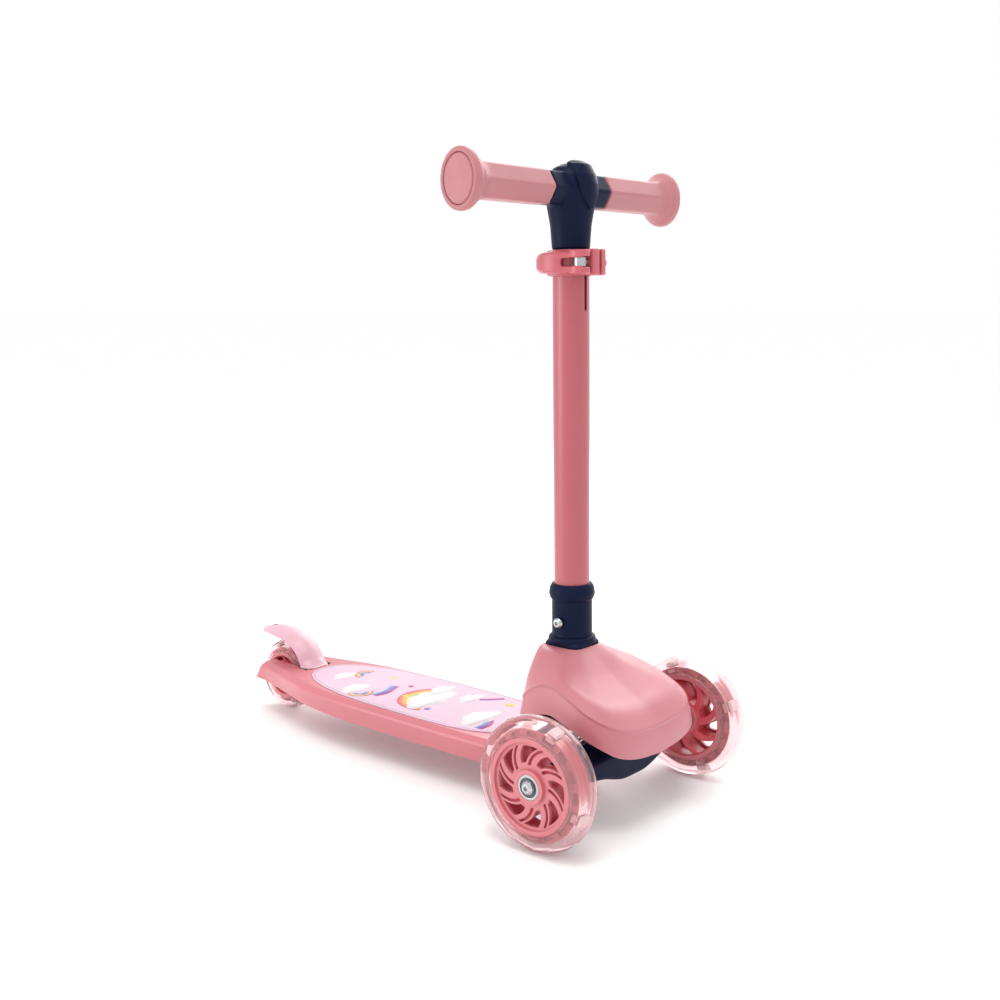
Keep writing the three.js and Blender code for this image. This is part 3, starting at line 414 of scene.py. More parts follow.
class Nodes:
    """A material with a Principled shader and a few short ways to feed it."""

    def __init__(self, name):
        self.material = bpy.data.materials.new(name)
        self.material.use_nodes = True
        self.tree = self.material.node_tree
        self.shader = self.tree.nodes["Principled BSDF"]
        self.place = self.tree.nodes.new("ShaderNodeTexCoord").outputs["Object"]

    def feed(self, node, **sockets):
        """Sets a node's inputs: another node's output is linked, anything else is a value."""
        for socket, value in sockets.items():
            target = node.inputs[socket.replace("_", " ")]
            if isinstance(value, bpy.types.NodeSocket):
                self.tree.links.new(value, target)
            else:
                target.default_value = value
        return node

    def new(self, kind, **sockets):
        return self.feed(self.tree.nodes.new(f"ShaderNode{kind}"), **sockets)

    def noise(self, scale, detail=3.0, stretch=None):
        source = self.place
        if stretch:
            source = self.new("Mapping", Vector=source, Scale=stretch).outputs["Vector"]
        return self.new("TexNoise", Vector=source, Scale=scale, Detail=detail).outputs["Fac"]

    def ranged(self, value, low, high):
        """The usual span of a noise, stretched from low to high."""
        span = {"From_Min": 0.3, "From_Max": 0.7, "To_Min": low, "To_Max": high}
        return self.new("MapRange", Value=value, **span).outputs["Result"]

    def color(self, value, rgb, dark, light):
        """Varies a colour as seen on screen between a darker and a lighter tone of it."""
        node = self.tree.nodes.new("ShaderNodeMix")
        node.data_type = "RGBA"
        self.tree.links.new(self.ranged(value, 0, 1), node.inputs[0])
        for socket, factor in ((6, dark), (7, light)):
            tone = [min(1, channel * factor) for channel in linear(rgb)[:3]] + [1]
            node.inputs[socket].default_value = tone
        self.feed(self.shader, Base_Color=node.outputs[2])

    def gloss(self, value, low, high):
        self.feed(self.shader, Roughness=self.ranged(value, low, high))

    def bump(self, value, strength, distance):
        node = self.new("Bump", Height=value, Strength=strength, Distance=distance)
        self.feed(self.shader, Normal=node.outputs["Normal"])


def plastic(name, rgb, roughness, grain=0.05, coat=0.0, shine=0.5):
    """Moulded plastic: faint flow marks in colour, uneven gloss and a fine spark-eroded grain."""
    nodes = Nodes(name)
    nodes.color(nodes.noise(14.0, 2.0), rgb, 0.965, 1.03)
    nodes.gloss(nodes.noise(90.0), roughness - 0.035, roughness + 0.045)
    nodes.bump(nodes.noise(2600.0, 2.0), grain, 0.00008)
    nodes.feed(
        nodes.shader, IOR=1.46, Coat_Weight=coat, Coat_Roughness=0.4, Specular_IOR_Level=shine
    )
    return nodes.material


def paint(name, rgb, roughness):
    """Powder coat: a very fine orange peel under a thin satin gloss."""
    nodes = Nodes(name)
    nodes.color(nodes.noise(9.0), rgb, 0.96, 1.03)
    nodes.gloss(nodes.noise(60.0), roughness - 0.01, roughness + 0.01)
    nodes.bump(nodes.noise(2600.0, 2.0), 0.02, 0.00004)
    nodes.feed(nodes.shader, Coat_Weight=0.35, Coat_Roughness=0.32, IOR=1.5)
    return nodes.material


def metal(name, rgb, roughness, brushed=None):
    """Plated or bare metal with fine machining marks."""
    nodes = Nodes(name)
    marks = nodes.noise(700.0, 3.0, brushed)
    nodes.color(nodes.noise(60.0), rgb, 0.88, 1.06)
    nodes.gloss(marks, roughness - 0.08, roughness + 0.1)
    nodes.bump(marks, 0.08, 0.00005)
    nodes.feed(nodes.shader, Metallic=1.0)
    return nodes.material


def clear(name, rgb, through, roughness):
    """Cast polyurethane: clear, faintly milky and tinted."""
    nodes = Nodes(name)
    nodes.color(nodes.noise(25.0), rgb, 0.97, 1.02)
    nodes.gloss(nodes.noise(120.0), roughness - 0.03, roughness + 0.05)
    nodes.bump(nodes.noise(300.0, 2.0), 0.03, 0.0001)
    nodes.feed(nodes.shader, Transmission_Weight=through, IOR=1.22, Specular_IOR_Level=0.7)
    return nodes.material


# Each look: the CAD material slot that it stands for and its own material. Where several looks
# share a slot, the first is also the look of the CAD nodes that keep their shape.
LOOKS = {
    "shell": ("shell_pink", plastic("shell_pink", (188, 112, 120), 0.42, coat=0.3)),
    "hub": ("shell_pink", plastic("hub_pink", (200, 112, 118), 0.34, coat=0.4)),
    # The hub's inner body: the same plastic in a deeper pink, which is painted shade and painted bounce light for
    # the hollows seen through the windows and slots.
    "shaded_core": ("shell_pink", plastic("core_pink_painted_shade", (212, 84, 96), 0.36)),
    "clamp": ("shell_pink", plastic("clamp_pink", (186, 84, 94), 0.34, coat=0.4)),
    "deck": ("shell_pink", plastic("deck_pink", (192, 101, 110), 0.38, coat=0.6)),
    "grip": ("grip_pink", plastic("grip_pink", (178, 113, 117), 0.46, grain=0.08)),
    "fender": ("pale_pink", plastic("pale_pink", (208, 162, 174), 0.36, coat=0.5)),
    "navy": ("navy", plastic("navy", (15, 23, 50), 0.42, grain=0.06, shine=0.1)),
    "stem": ("stem_paint", paint("stem_pink", (172, 80, 89), 0.36)),
    "tyre": ("tyre_clear", clear("clear_tyre", (250, 216, 219), 0.88, 0.1)),
    "mat": ("deck_print", plastic("grip_sheet", (206, 176, 192), 0.5, grain=0.25)),
    "module": ("light_module", plastic("light_module", (250, 246, 244), 0.3)),
    "steel": ("steel", metal("steel", (186, 188, 190), 0.28)),
    "dark_steel": ("steel", metal("dark_steel", (92, 94, 96), 0.38)),
    "aluminium": ("aluminium", metal("aluminium", (196, 198, 201), 0.42, (1, 1, 0.05))),
}


# ---- Wheels: drawn about X, outer face towards +X ----

WINDOWS = 8
MODULES = 4
MODULE_START = 22  # degrees clockwise from the top to the first light module
BAND_HALF = 6.4  # half the depth of the pierced band, and of the solid web in its middle
WEB_HALF = 3.0
SWIRL = 31.0  # degrees that a spoke turns between the boss and the rim


def wheel_sizes(radius, width, rim, band):
    return {"radius": radius, "half": width / 2, "rim": rim, "band": band, "boss": 15.2}


FRONT = wheel_sizes(60, 28, 43, 49.5)
REAR = wheel_sizes(40, 24, 27, 31)
BEARING_RADIUS = 11
BEARING_WIDTH = 7


def spoke_angle(size, radius, index):
    """Where the middle of a spoke is, in degrees clockwise from the top seen from outside."""
    inner, outer = size["boss"] + 1.2, size["rim"] - 4.4
    t = max(0.0, (radius - inner) / (outer - inner))
    return -51.6 + 360 * index / WINDOWS + SWIRL * t**1.4


def on_face(radius, clockwise):
    return polar(radius, 90 - clockwise)


def beside(radius, millimetres):
    return math.degrees(millimetres / radius)


def spoke_side(size, radii, index, aside):
    """Points along a spoke, so many millimetres clockwise of its middle."""
    return [on_face(r, spoke_angle(size, r, index) + beside(r, aside)) for r in radii]


def spoke_slot(size, index, half_width):
    radii = steps(size["boss"] + 3.6, size["rim"] - 6.6, 10)
    right = spoke_side(size, radii, index, half_width)
    left = spoke_side(size, radii, index, -half_width)
    return fillet(right + left[::-1], half_width * 0.95, 3)


def spoke_window(size, index, low, high, near, near_inside, far):
    """The opening between two spokes; it narrows inward, away from the spoke before it."""
    radii = steps(low, high, 12)
    before = []
    for r, t in zip(radii, steps(0, 1, 12)):
        aside = beside(r, mix(near_inside, near, t**0.8))
        before.append(on_face(r, spoke_angle(size, r, index - 1) + aside))
    after = spoke_side(size, radii, index, -far)
    start = spoke_angle(size, high, index - 1) + beside(high, near)
    end = spoke_angle(size, high, index) - beside(high, far)
    rim = [on_face(high, angle) for angle in steps(start, end, 8)[1:-1]]
    return fillet(before + rim + after[::-1], 2.0, 4)


def circle(radius, count=120):
    return [polar(radius, 360 * i / count) for i in range(count)]


def hub_meshes(size, place):
    """The hub's pale face, rim and band, and the inner body behind the face, whose deeper pink is painted shade
    and painted bounce light seen through the windows and slots.
    """
    half, rim, boss = size["half"], size["rim"], size["boss"]
    face = half - 4.4
    share = (rim - boss) / (FRONT["rim"] - FRONT["boss"])

    def windows(low, high, *margins):
        reach = [margin * share for margin in margins]
        return [spoke_window(size, i, low, high, *reach) for i in range(WINDOWS)]

    outer_windows = windows(boss + 6.0 * share, rim - 7.4, 7.8, 7.4, 4.3)
    inner_windows = windows(boss + 2.4, rim - 5.4, 4.6, 4.6, 2.6)
    slots = [spoke_slot(size, i, 1.45 * share) for i in range(WINDOWS)]
    flange = circle(rim - 3)
    bore = [circle(BEARING_RADIUS + 0.6, 48)]
    return joined(
        plate(flange, face - 3.6, face, outer_windows + slots + bore, 0.7, place, 0),
        sleeve(rim, rim - 4.4, -half + 1.9, half - 1.9, place, 0.9, 160),
        sleeve(boss, BEARING_RADIUS + 0.1, -half + 0.9, half - 0.9, place, 0.7, 96),
        band_mesh(size, place),
    ), joined(
        plate(flange, face - 5.4, face - 3.5, inner_windows + bore, 0, place, 0),
        plate(flange, -face, face - 5.3, inner_windows + bore, 0, place, 0.7),
        plate(circle(size["band"] - 0.3, 160), -WEB_HALF - 0.05, WEB_HALF + 0.05,
              [circle(rim - 1, 160)], 0, place, 0),
    )


def band_mesh(size, place):
    """The outer band of the hub's inner body, set in the clear tyre: pierced by a ring of oblong notches."""
    rim, band = size["rim"], size["band"]
    share = band / FRONT["band"]
    places = WINDOWS * 2
    holes = []
    for i in range(places):
        middle = MODULE_START + 360 * i / places
        gap = i % (places // MODULES) == 0
        low, high = (rim + 0.4, band - 0.8) if gap else (rim + 1.4, band - 1.6)
        reach = 8.0 if gap else 6.2
        bottom = [on_face(low, a) for a in steps(middle - reach, middle + reach, 6)]
        top = [on_face(high, a) for a in steps(middle + reach, middle - reach, 6)]
        holes.append(fillet(bottom + top, 1.5 * share, 3))
    ring = [circle(rim - 1, 160)]
    outline = circle(band, 160)
    return joined(
        plate(outline, WEB_HALF, BAND_HALF, holes + ring, 0.5, place, 0),
        plate(outline, -BAND_HALF, -WEB_HALF, holes + ring, 0, place, 0.5),
    )


def tyre_mesh(size, place):
    half, rim, radius, band = size["half"], size["rim"], size["radius"], size["band"]
    outside = [
        (rim + 0.1, -half + 1.6, 0),
        (rim + 0.6, -half + 0.7, 0.5),
        (mix(rim, radius, 0.42), -half + 0.1, 6),
        (radius - 5.4, -half + 2.2, 5),
        (radius - 1.6, -half + 6.6, 5),
        (radius, -half + 11.5, 6),
    ]
    inside = [(r, -x, fall) for r, x, fall in reversed(outside)]
    groove_half = BAND_HALF + 0.6
    groove = [(rim + 0.1, groove_half, 0.3), (band + 0.5, groove_half, 0.6)]
    groove += [(r, -x, fall) for r, x, fall in reversed(groove)]
    return lathe(fillet(outside + inside + groove, 1.0, 8), place, 192)


def module_mesh(size, place):
    """The four light modules: a tapered block standing out of the band under the clear tyre, with a small foot at
    each side below it.
    """
    band = size["band"]
    share = band / FRONT["band"]
    narrow, wide, deep = 4.4 * share, 5.4 * share, 5.0 * share
    shoulder = 4.2 * share
    block_outline = fillet([(0, -wide), (3.6, -shoulder), (3.6, shoulder), (0, wide)], 0.8, 3)
    plinth = fillet(rectangle(-deep, -narrow, -0.9, narrow), 0.8, 3)
    shapes = []
    for i in range(MODULES):
        at = place @ turn(90 - MODULE_START - 360 * i / MODULES, "Z") @ shift(band + 0.7, 0, 0)
        shapes.append(plate(block_outline, -4.6, 4.6, edge=0.5, place=at))
        for low, high in ((3.3, 5.6), (-5.6, -3.3)):
            shapes.append(plate(plinth, low, high, edge=0.4, place=at))
    return joined(*shapes)


def bearing_mesh(low, place):
    """The outer and the inner race."""
    high = low + BEARING_WIDTH
    return joined(
        sleeve(BEARING_RADIUS, 8.9, low, high, place, 0.35, 72),
        sleeve(6.2, 4.05, low, high, place, 0.3, 72),
    )


def shield_mesh(low, place):
    """The sunken dark shield between the races."""
    high = low + BEARING_WIDTH
    section = rectangle(6.1, low + 0.6, 9.0, high - 0.6)
    section.insert(3, (7.8, high - 0.35))
    return lathe(fillet(section, 0.1), place, 72)


def wheel(prefix, suffix, size, body, centre, side):
    place = shift(*centre) @ facing(side) @ ABOUT_X
    hub, shaded_core = hub_meshes(size, place)

    def part(title, mesh, look, node=None, **finish):
        replaced = [f"{prefix}_{node}{suffix}"] if node else []
        piece(f"{prefix}_{title}{suffix}", mesh, body, look, replaced, **finish)

    part("wheel_tyre", tyre_mesh(size, place), "tyre", "tyre", sharp=50)
    part("wheel_hub", hub, "hub", "hub", weighted=True)
    # The inner body's deeper pink is painted shade and painted bounce light in the windows and slots.
    part("wheel_shaded_core", shaded_core, "shaded_core", weighted=True)
    part("lights", module_mesh(size, place), "module", "light_strip", weighted=True)
    seat = size["half"] - 8
    for end, low in (("outer", seat), ("inner", -seat - BEARING_WIDTH)):
        part(f"races_{end}", bearing_mesh(low, place), "steel", f"bearing_{end}")
        part(f"shields_{end}", shield_mesh(low, place), "dark_steel")
    spacer = sleeve(6, 4.1, -seat + GAP, seat - GAP, place, 0.3, 48)
    part("spacer", spacer, "steel", "bearing_sleeve")


wheel("front", "_left", FRONT, "front_left_wheel", joint_place("front_left_spin"), 1)
wheel("front", "_right", FRONT, "front_right_wheel", joint_place("front_right_spin"), -1)
wheel("rear", "", REAR, "rear_wheel", REAR_AXLE, 1)


# ---- Fasteners ----

def button_screw(head, shank, low, high, place, key=4.0):
    """A button-head screw along +Z: shank from low, head standing on high."""
    profile = [
        (0, low, 0), (shank, low), (shank, high, 0), (head, high), (head * 0.97, high + 1.2),
        (head * 0.66, high + 3.1), (0, high + 3.3, 0),
    ]
    recess = plate(hexagon(key), high + 1.2, high + 6, edge=0, place=place)
    return carve(knob(profile, 0.5, place), recess)


def hexagon_nut(across, bore, low, high, place):
    outline = fillet(hexagon(across, 30), 0.5, 2)
    return plate(outline, low, high, [circle(bore, 32)], 0.5, place)


def fastener(name, mesh, body, node):
    piece(name, mesh, body, "steel", [node], weighted=True)


for name, side in SIDES:
    centre = joint_place(f"front_{name}_spin")
    place = shift(0, centre.y, centre.z) @ facing(side) @ ON_X
    screw = button_screw(6.2, 3.9, 86, 133.3, place)
    fastener(f"axle_screw_{name}", screw, "truck", f"front_axle_bolt_{name}")
    nut = hexagon_nut(13, 4.1, 88.4, 95, place)
    fastener(f"axle_nut_{name}", nut, "truck", f"front_axle_nut_{name}")

place = shift(*REAR_AXLE) @ ON_X
fastener("tail_axle_screw", button_screw(6.3, 3.9, -27.4, 30.6, place), "deck", "rear_axle_bolt")
fastener("tail_axle_nut", hexagon_nut(13, 4.1, -27.3, -21.1, place), "deck", "rear_axle_nut")

SOCKET_BOLT = STEM @ shift(0, 0, 172)
place = SOCKET_BOLT @ turn(-90, "Y")
fastener("socket_screw", button_screw(5, 3, -24, 20.9, place, 3.4), "deck", "stem_bolt")
fastener("socket_nut", hexagon_nut(10, 3.1, 19.1, 24, SOCKET_BOLT @ ON_X), "deck", "stem_nut")


# ---- Springs ----

def coil(name, radius, wire, low, high, turns, place, node):
    """A wound spring with closed ends, swept as a round wire."""
    rings = []
    for t in steps(0, 1, turns * 28):
        angle = t * turns * TAU
        rise = 0.4 * smooth(t, 0, 1) + 0.6 * t
        height = mix(low + wire, high - wire, rise)
        out = Vector((math.cos(angle), math.sin(angle), 0))
        middle = out * radius + Vector((0, 0, height))
        rings.append([
            tuple(middle + out * wire * math.cos(a) + Vector((0, 0, wire * math.sin(a))))
            for a in steps(0, TAU, 10)[:-1]
        ])
    piece(name, skin(rings, place), "deck", "steel", [node])


def spring_seat(side):
    """Where a centring spring stands, with its axis pointing back from the beam."""
    return KINGPIN @ shift(side * 32, 0, -3.3) @ turn(-90, "X")


for name, side in SIDES:
    place = spring_seat(side)
    coil(f"centring_spring_{name}", 4.4, 0.9, 12.4, 24, 3, place, f"steering_spring_{name}")
BRAKE_PIN = shift(*BRAKE) @ ON_X
coil("return_spring", 3.9, 0.7, -5.6, 5.6, 4, BRAKE_PIN, "brake_spring")
piece("fender_pin", rod(2.5, -30, 30, BRAKE_PIN), "deck", "steel", ["brake_pin"])


# ---- Truck beam ----

# Out from the middle along X: half depth along Y, bottom, top.
BEAM = [
    [0, 20, 36.6, 73],
    [16, 20, 37, 73],
    [30, 20, 40.5, 72],
    [42, 19.5, 44, 69.5],
    [56, 18.5, 46, 67.5],
    [80, 16, 48.5, 67],
    [103, 13, 50, 67.5],
]


BEAM_END = 103


def beam_ring(x):
    """A section across the beam: a box with rounded corners, drawn in a little at the very end."""
    ends = 1.2 * smooth(abs(x), BEAM_END - 2, BEAM_END)
    depth, bottom, top = reading(BEAM, abs(x))
    depth, bottom, top = depth - ends, bottom + ends, top - ends
    corner = 6.5
    ring = []
    for cy, cz, start in (
        (depth - corner, top - corner, 0),
        (-depth + corner, top - corner, 90),
        (-depth + corner, bottom + corner, 180),
        (depth - corner, bottom + corner, 270),
    ):
        for angle in steps(start, start + 90, 6):
            dy, dz = polar(corner, angle)
            ring.append((x, cy + dy, cz + dz))
    return ring


def beam_mesh():
    bar = skin([beam_ring(x) for x in steps(-BEAM_END, BEAM_END, 60)], ROOT)
    ears = 19.5  # radius of the room for the bracket's ears
    tools = [  # the kingpin's bore, then the room for the ears and the bracket behind them
        rod(5.1, -80, 80, KINGPIN, 0),
        rod(ears, 16, 70, KINGPIN, 0),
        rod(ears, -70, -16, KINGPIN, 0),
        block((-48, 12, -60), (48, 60, 60), KINGPIN, 0),
        block((-17, 10, -60), (17, 60, 60), KINGPIN, 0),
    ]
    stubs = []
    for side in (1, -1):
        tools.append(rod(8.2, 5.6, 14, spring_seat(side), 0))
        at = shift(0, AXLE.y, AXLE.z) @ facing(side) @ ON_X
        stubs.append(sleeve(6.5, 4.3, 100, 106.7, at, 0.4, 48))
        tools.append(rod(4.3, 84, 110, at, 0, 48))
        tools.append(plate(rectangle(-20, -7, 8, 7), 88, 95.4, edge=0, place=at))
    return joined(carve(bar, *tools), *stubs)


piece("beam", beam_mesh(), "truck", "navy", ["truck_beam"], weighted=True)


# ---- Hood ----

# Front to back down one side: an angle round the stem from straight ahead, then x, y, z of the
# soft ridge and x, y, z of the lower rim.
HOOD = [
    [0, 0, -43, 90.5, 0, -45, 65],
    [18, 32, -42.5, 93, 35, -44.5, 68.5],
    [30, 53, -38, 97, 58, -41, 74.5],
    [37, 63, -29, 102.5, 68, -32.5, 81],
    [45, 68, -14, 109, 73, -17, 88],
    [55, 67, 8, 119, 71, 6, 95],
    [68, 62.5, 30, 126, 67, 30, 100.5],
    [85, 60, 50, 122, 64.5, 50, 93],
    [102, 56, 65, 112, 62, 66, 70],
    [118, 47, 76, 103, 52, 79, 57],
    [138, 30, 82, 96, 33, 87, 57],
    [180, 0, 84, 92, 0, 89.5, 57],
]
# From the opening to the ridge: the share of the way along, out and down, in front and behind.
NOSE = [
    [0, 0, 0], [0.15, 0.13, 0.15], [0.35, 0.34, 0.38], [0.65, 0.64, 0.62], [0.82, 0.81, 0.73],
    [0.92, 0.92, 0.86], [1, 1, 1],
]
BACK = [
    [0, 0, 0], [0.15, 0.36, 0.03], [0.35, 0.6, 0.2], [0.65, 0.82, 0.5], [0.82, 0.92, 0.74],
    [0.92, 0.965, 0.88], [1, 1, 1],
]
HOOD_TOP = 149
HOOD_OPENING = 20.4
DECK_TOP = 56.5


def square_point(angle, half):
    """A point on a square with very round corners, at an angle from straight ahead."""
    power = 5
    s, c = math.sin(angle), math.cos(angle)
    scale = half / (abs(s) ** power + abs(c) ** power) ** (1 / power)
    return scale * s, -scale * c


def hood_point(angle, along):
    """The hood's outer face: along is 0 at the opening, 1 at the ridge and 2 at the rim."""
    folded = abs(angle)
    side = -1 if angle < 0 else 1
    rx, ry, rz, mx, my, mz = reading(HOOD, folded)
    around = math.radians(angle)
    ox, oy = square_point(around, HOOD_OPENING)
    lean = HOOD_TOP * math.tan(math.radians(RAKE))
    top = Vector((ox, STEM_FOOT + lean + oy, HOOD_TOP))
    ridge = Vector((side * rx, ry, rz))
    rim = Vector((side * mx, my, mz))
    out = Vector((math.sin(around), -math.cos(around), 0))
    bead = (out + Vector((0, 0, 0.6))) * 1.2 * math.exp(-(((along - 1) / 0.045) ** 2))
    if along <= 1:
        back = smooth(folded, 50, 115)
        nose_out, nose_down = reading(NOSE, along)
        back_out, back_down = reading(BACK, along)
        point = top.lerp(ridge, mix(nose_out, back_out, back))
        point.z = mix(top.z, ridge.z, mix(nose_down, back_down, back))
        return point + bead
    t = along - 1
    return ridge.lerp(rim, t) + out * 1.5 * math.sin(math.pi * t) + bead


def hood_mesh():
    rows = []
    for t in steps(0, 0.92, 28) + steps(0.935, 1.065, 13) + steps(1.1, 2, 16):
        row = [hood_point(angle, t) for angle in steps(-180, 180, 144)[:-1]]
        for point in row:
            if point.y > 25:  # over the deck
                point.z = max(point.z, DECK_TOP + 0.4)
        rows.append(row)
    return sheet(rows, wall=2.4, lip=0.9, lip_angle=55, passes=2)


piece("hood_cover", hood_mesh(), "deck", "shell", ["hood"], sharp=60)


# ---- Stem ----

STEM_RADIUS = 16.5
STEM_TOP = 508.6
SLOT_BOTTOM = 457.7
SLOT_HALF = 1.8
SLOT_COLUMNS = 8


def slotted_tube(outer, inner, low, high, slot_low, slot_half):
    """A tube about the stem, with a round-footed slot down its front from the top."""
    edge = math.degrees(math.asin(slot_half / outer))
    inside = steps(-edge, edge, SLOT_COLUMNS)
    columns = inside[:-1] + steps(edge, 360 - edge, 88)[:-1]
    heights = steps(low, slot_low - 4, 8) + [slot_low, high]
    points, faces = [], []
    foot = len(heights) - 2
    for radius in (outer, inner):
        for level, z in enumerate(heights):
            for column, degrees in enumerate(columns):
                x, y = polar(radius, degrees - 90)
                drop = 0
                if level == foot and column <= SLOT_COLUMNS:
                    across = degrees / edge
                    drop = slot_half * math.sqrt(max(0, 1 - across**2))
                points.append((x, y, z - drop))
    count = len(columns)
    wall = count * len(heights)
    for shell in (0, wall):
        for level in range(len(heights) - 1):
            for i in range(count):
                if level == foot and i < SLOT_COLUMNS:
                    continue
                j = (i + 1) % count
                a = shell + level * count
                faces.append((a + i, a + j, a + count + j, a + count + i))
    for i in range(count):
        j = (i + 1) % count
        faces.append((i, j, wall + j, wall + i))
        base = (foot if i < SLOT_COLUMNS else foot + 1) * count
        faces.append((base + i, base + j, wall + base + j, wall + base + i))
    for column in (0, SLOT_COLUMNS):
        a, b = foot * count + column, (foot + 1) * count + column
        faces.append((a, b, wall + b, wall + a))
    return mesh_of(points, faces, STEM)


stem_tube = slotted_tube(STEM_RADIUS, STEM_RADIUS - 1.5, 84, STEM_TOP, SLOT_BOTTOM, SLOT_HALF)
piece("stem_pipe", stem_tube, "deck", "stem", ["stem_tube"], sharp=40)
bushing = slotted_tube(14.8, 13.6, 440, STEM_TOP, 441, 1.2)
piece("stem_liner", bushing, "deck", "navy", ["stem_bushing"], sharp=40)

SOCKET_INSIDE = STEM_RADIUS + GAP
SOCKET = [
    (SOCKET_INSIDE, 157.8, 0), (19.6, 157.8, 0.5), (18.8, 160.5, 1.5), (18.8, 191.6, 0.4),
    (20.3, 193.2, 1.2), (21.5, 197.7, 3.5), (20.6, 203.4, 2), (18.6, 207, 0.7),
    (SOCKET_INSIDE, 207, 0),
]
socket = lathe(fillet(SOCKET, 0.4, 5), STEM, 128)
piece("stem_foot", socket, "deck", "navy", ["stem_socket"], sharp=45)


def skirt_mesh():
    """Round above, a rounded square below, and open round the stem."""
    def ring(half, round_share, z):
        points = []
        for degrees in steps(0, 360, 120)[:-1]:
            angle = math.radians(degrees)
            x, y = square_point(angle, half)
            cx, cy = half * math.sin(angle), -half * math.cos(angle)
            points.append((mix(x, cx, round_share), mix(y, cy, round_share), z))
        return points
    rings = [ring(SOCKET_INSIDE, 1, 139), ring(19.9, 0, 139), ring(19.9, 0, 149.2)]
    for t in steps(0, 1, 6)[1:]:
        rings.append(ring(mix(20.4, 22.2, t), smooth(t, 0, 1), mix(149.6, 154.4, t)))
    rings += [ring(22.1, 1, 155.6), ring(21.4, 1, 157), ring(20.6, 1, 157.5)]
    return skin(rings + [ring(SOCKET_INSIDE, 1, 157.5)], STEM, closed=True)


piece("stem_collar_skirt", skirt_mesh(), "deck", "navy", ["stem_skirt"], sharp=45)


# ---- Clamp and quick-release lever ----

CLAMP_LOW, CLAMP_HIGH = 486.7, 509.4
CLAMP_RADIUS = 21.5
PIVOT_X, PIVOT_Y = -20, -25
PIVOT = STEM @ shift(PIVOT_X, PIVOT_Y, 0)
BOLT_HEIGHT = 498


def collar_mesh():
    left, right, front = -10.6, 8.6, -33
    slit = 1.6
    inner = SOCKET_INSIDE
    start = math.degrees(math.asin(right / CLAMP_RADIUS)) - 90
    end = 270 + math.degrees(math.asin(left / CLAMP_RADIUS))
    mouth = math.degrees(math.asin(slit / inner))
    outside = [polar(CLAMP_RADIUS, a) + (0,) for a in steps(start, end, 72)]
    inside = [polar(inner, a) + (0,) for a in steps(270 - mouth, mouth - 90, 72)]
    outline = outside + [(left, front, 3), (-slit, front, 0.8)] + inside
    outline += [(slit, front, 0.8), (right, front, 3)]
    return plate(fillet(outline, 0.5, 5), CLAMP_LOW, CLAMP_HIGH, edge=1.6, place=STEM)


piece("clamp_band", collar_mesh(), "deck", "clamp", ["clamp_collar"], weighted=True)

place = STEM @ shift(0, PIVOT_Y, BOLT_HEIGHT) @ ON_X
shank = rod(2.9, PIVOT_X, 12.4, place, 0.2)
barrel = rod(5.4, BOLT_HEIGHT - 4, BOLT_HEIGHT + 4, PIVOT, 0.5)
piece("clamp_screw", joined(shank, barrel), "deck", "steel", ["clamp_bolt"])
NUT = [(3.1, 9, 0), (5.2, 9), (5.2, 12.6, 1.6), (3.8, 14.5, 1.2), (3.1, 14.5, 0.3)]
piece("clamp_cap_nut", lathe(fillet(NUT, 0.5), place, 72), "deck", "clamp", ["clamp_nut"])
pin = rod(2.5, CLAMP_LOW + 1.4, CLAMP_HIGH - 1.4, PIVOT, 0.3)
piece("lever_pin", pin, "deck", "steel", ["clamp_pivot_pin"])


def lever_mesh():
    low, high = CLAMP_LOW + 1, CLAMP_HIGH - 1
    inner = CLAMP_RADIUS + 1.6

    def drift(degrees):
        return inner + 3.6 * smooth(200 - degrees, 0, 75)

    outer_edge = []
    for degrees in steps(236, 126, 40):
        root = smooth(degrees, 200, 231)
        outer_edge.append(polar(drift(degrees) + 4.5 + 4 * root, degrees) + (0,))
    inner_edge = [polar(drift(degrees), degrees) + (0,) for degrees in steps(126, 226, 36)]
    arm = plate(fillet(outer_edge + inner_edge, 0, 6), low, high, edge=0, place=STEM)
    # Rounds the arm's long edges; the root stays full height.
    below = [(0, low - 1, 0), (22, low - 1, 2), (28, low + 1.6, 3), (33, low + 8, 4)]
    above = [(r, low + high - z, fall) for r, z, fall in reversed(below)]
    arm = carve(arm, knob(below + above, 1, STEM, 128, count=6), operation="INTERSECT")
    solid = carve(arm, rod(9, low, high, PIVOT, 0), operation="UNION")
    slot = [polar(60, degrees) for degrees in steps(198, 236, 6)] + [(0, 0)]
    swing = [(0, 0)] + [polar(26, degrees) for degrees in steps(-125, 32, 12)]
    lever = carve(
        solid,
        plate(slot, BOLT_HEIGHT - 3.4, BOLT_HEIGHT + 3.4, edge=0, place=STEM),
        plate(swing, BOLT_HEIGHT - 4.4, BOLT_HEIGHT + 4.4, edge=0, place=PIVOT),
        rod(6.2, BOLT_HEIGHT - 4.7, BOLT_HEIGHT + 4.7, PIVOT, 0),
    )
    return carve(remeshed(lever, 0.45, 30), rod(2.8, 450, 550, PIVOT, 0))


piece("release_lever", lever_mesh(), "clamp_lever", "clamp", ["clamp_lever"], sharp=0)


# ---- Handlebar ----

BAR = STEM @ shift(0, 0, BAR_HEIGHT)
BAR_ON_X = BAR @ ON_X
height_tube = sleeve(13.5, 12, 300, 547.4, STEM)
piece("height_tube", height_tube, "handlebar", "aluminium", ["inner_tube"])
cross_tube = sleeve(11, 9.5, -142, 142, BAR_ON_X)
piece("cross_tube", cross_tube, "handlebar", "aluminium", ["bar_tube"])

TEE_LOW = 509.8
TEE = [
    (17, TEE_LOW), (18.5, 531), (21.2, 546), (22.6, 556), (22.4, 566), (20.2, 574), (15.5, 580.4),
    (8, 583.9),
]


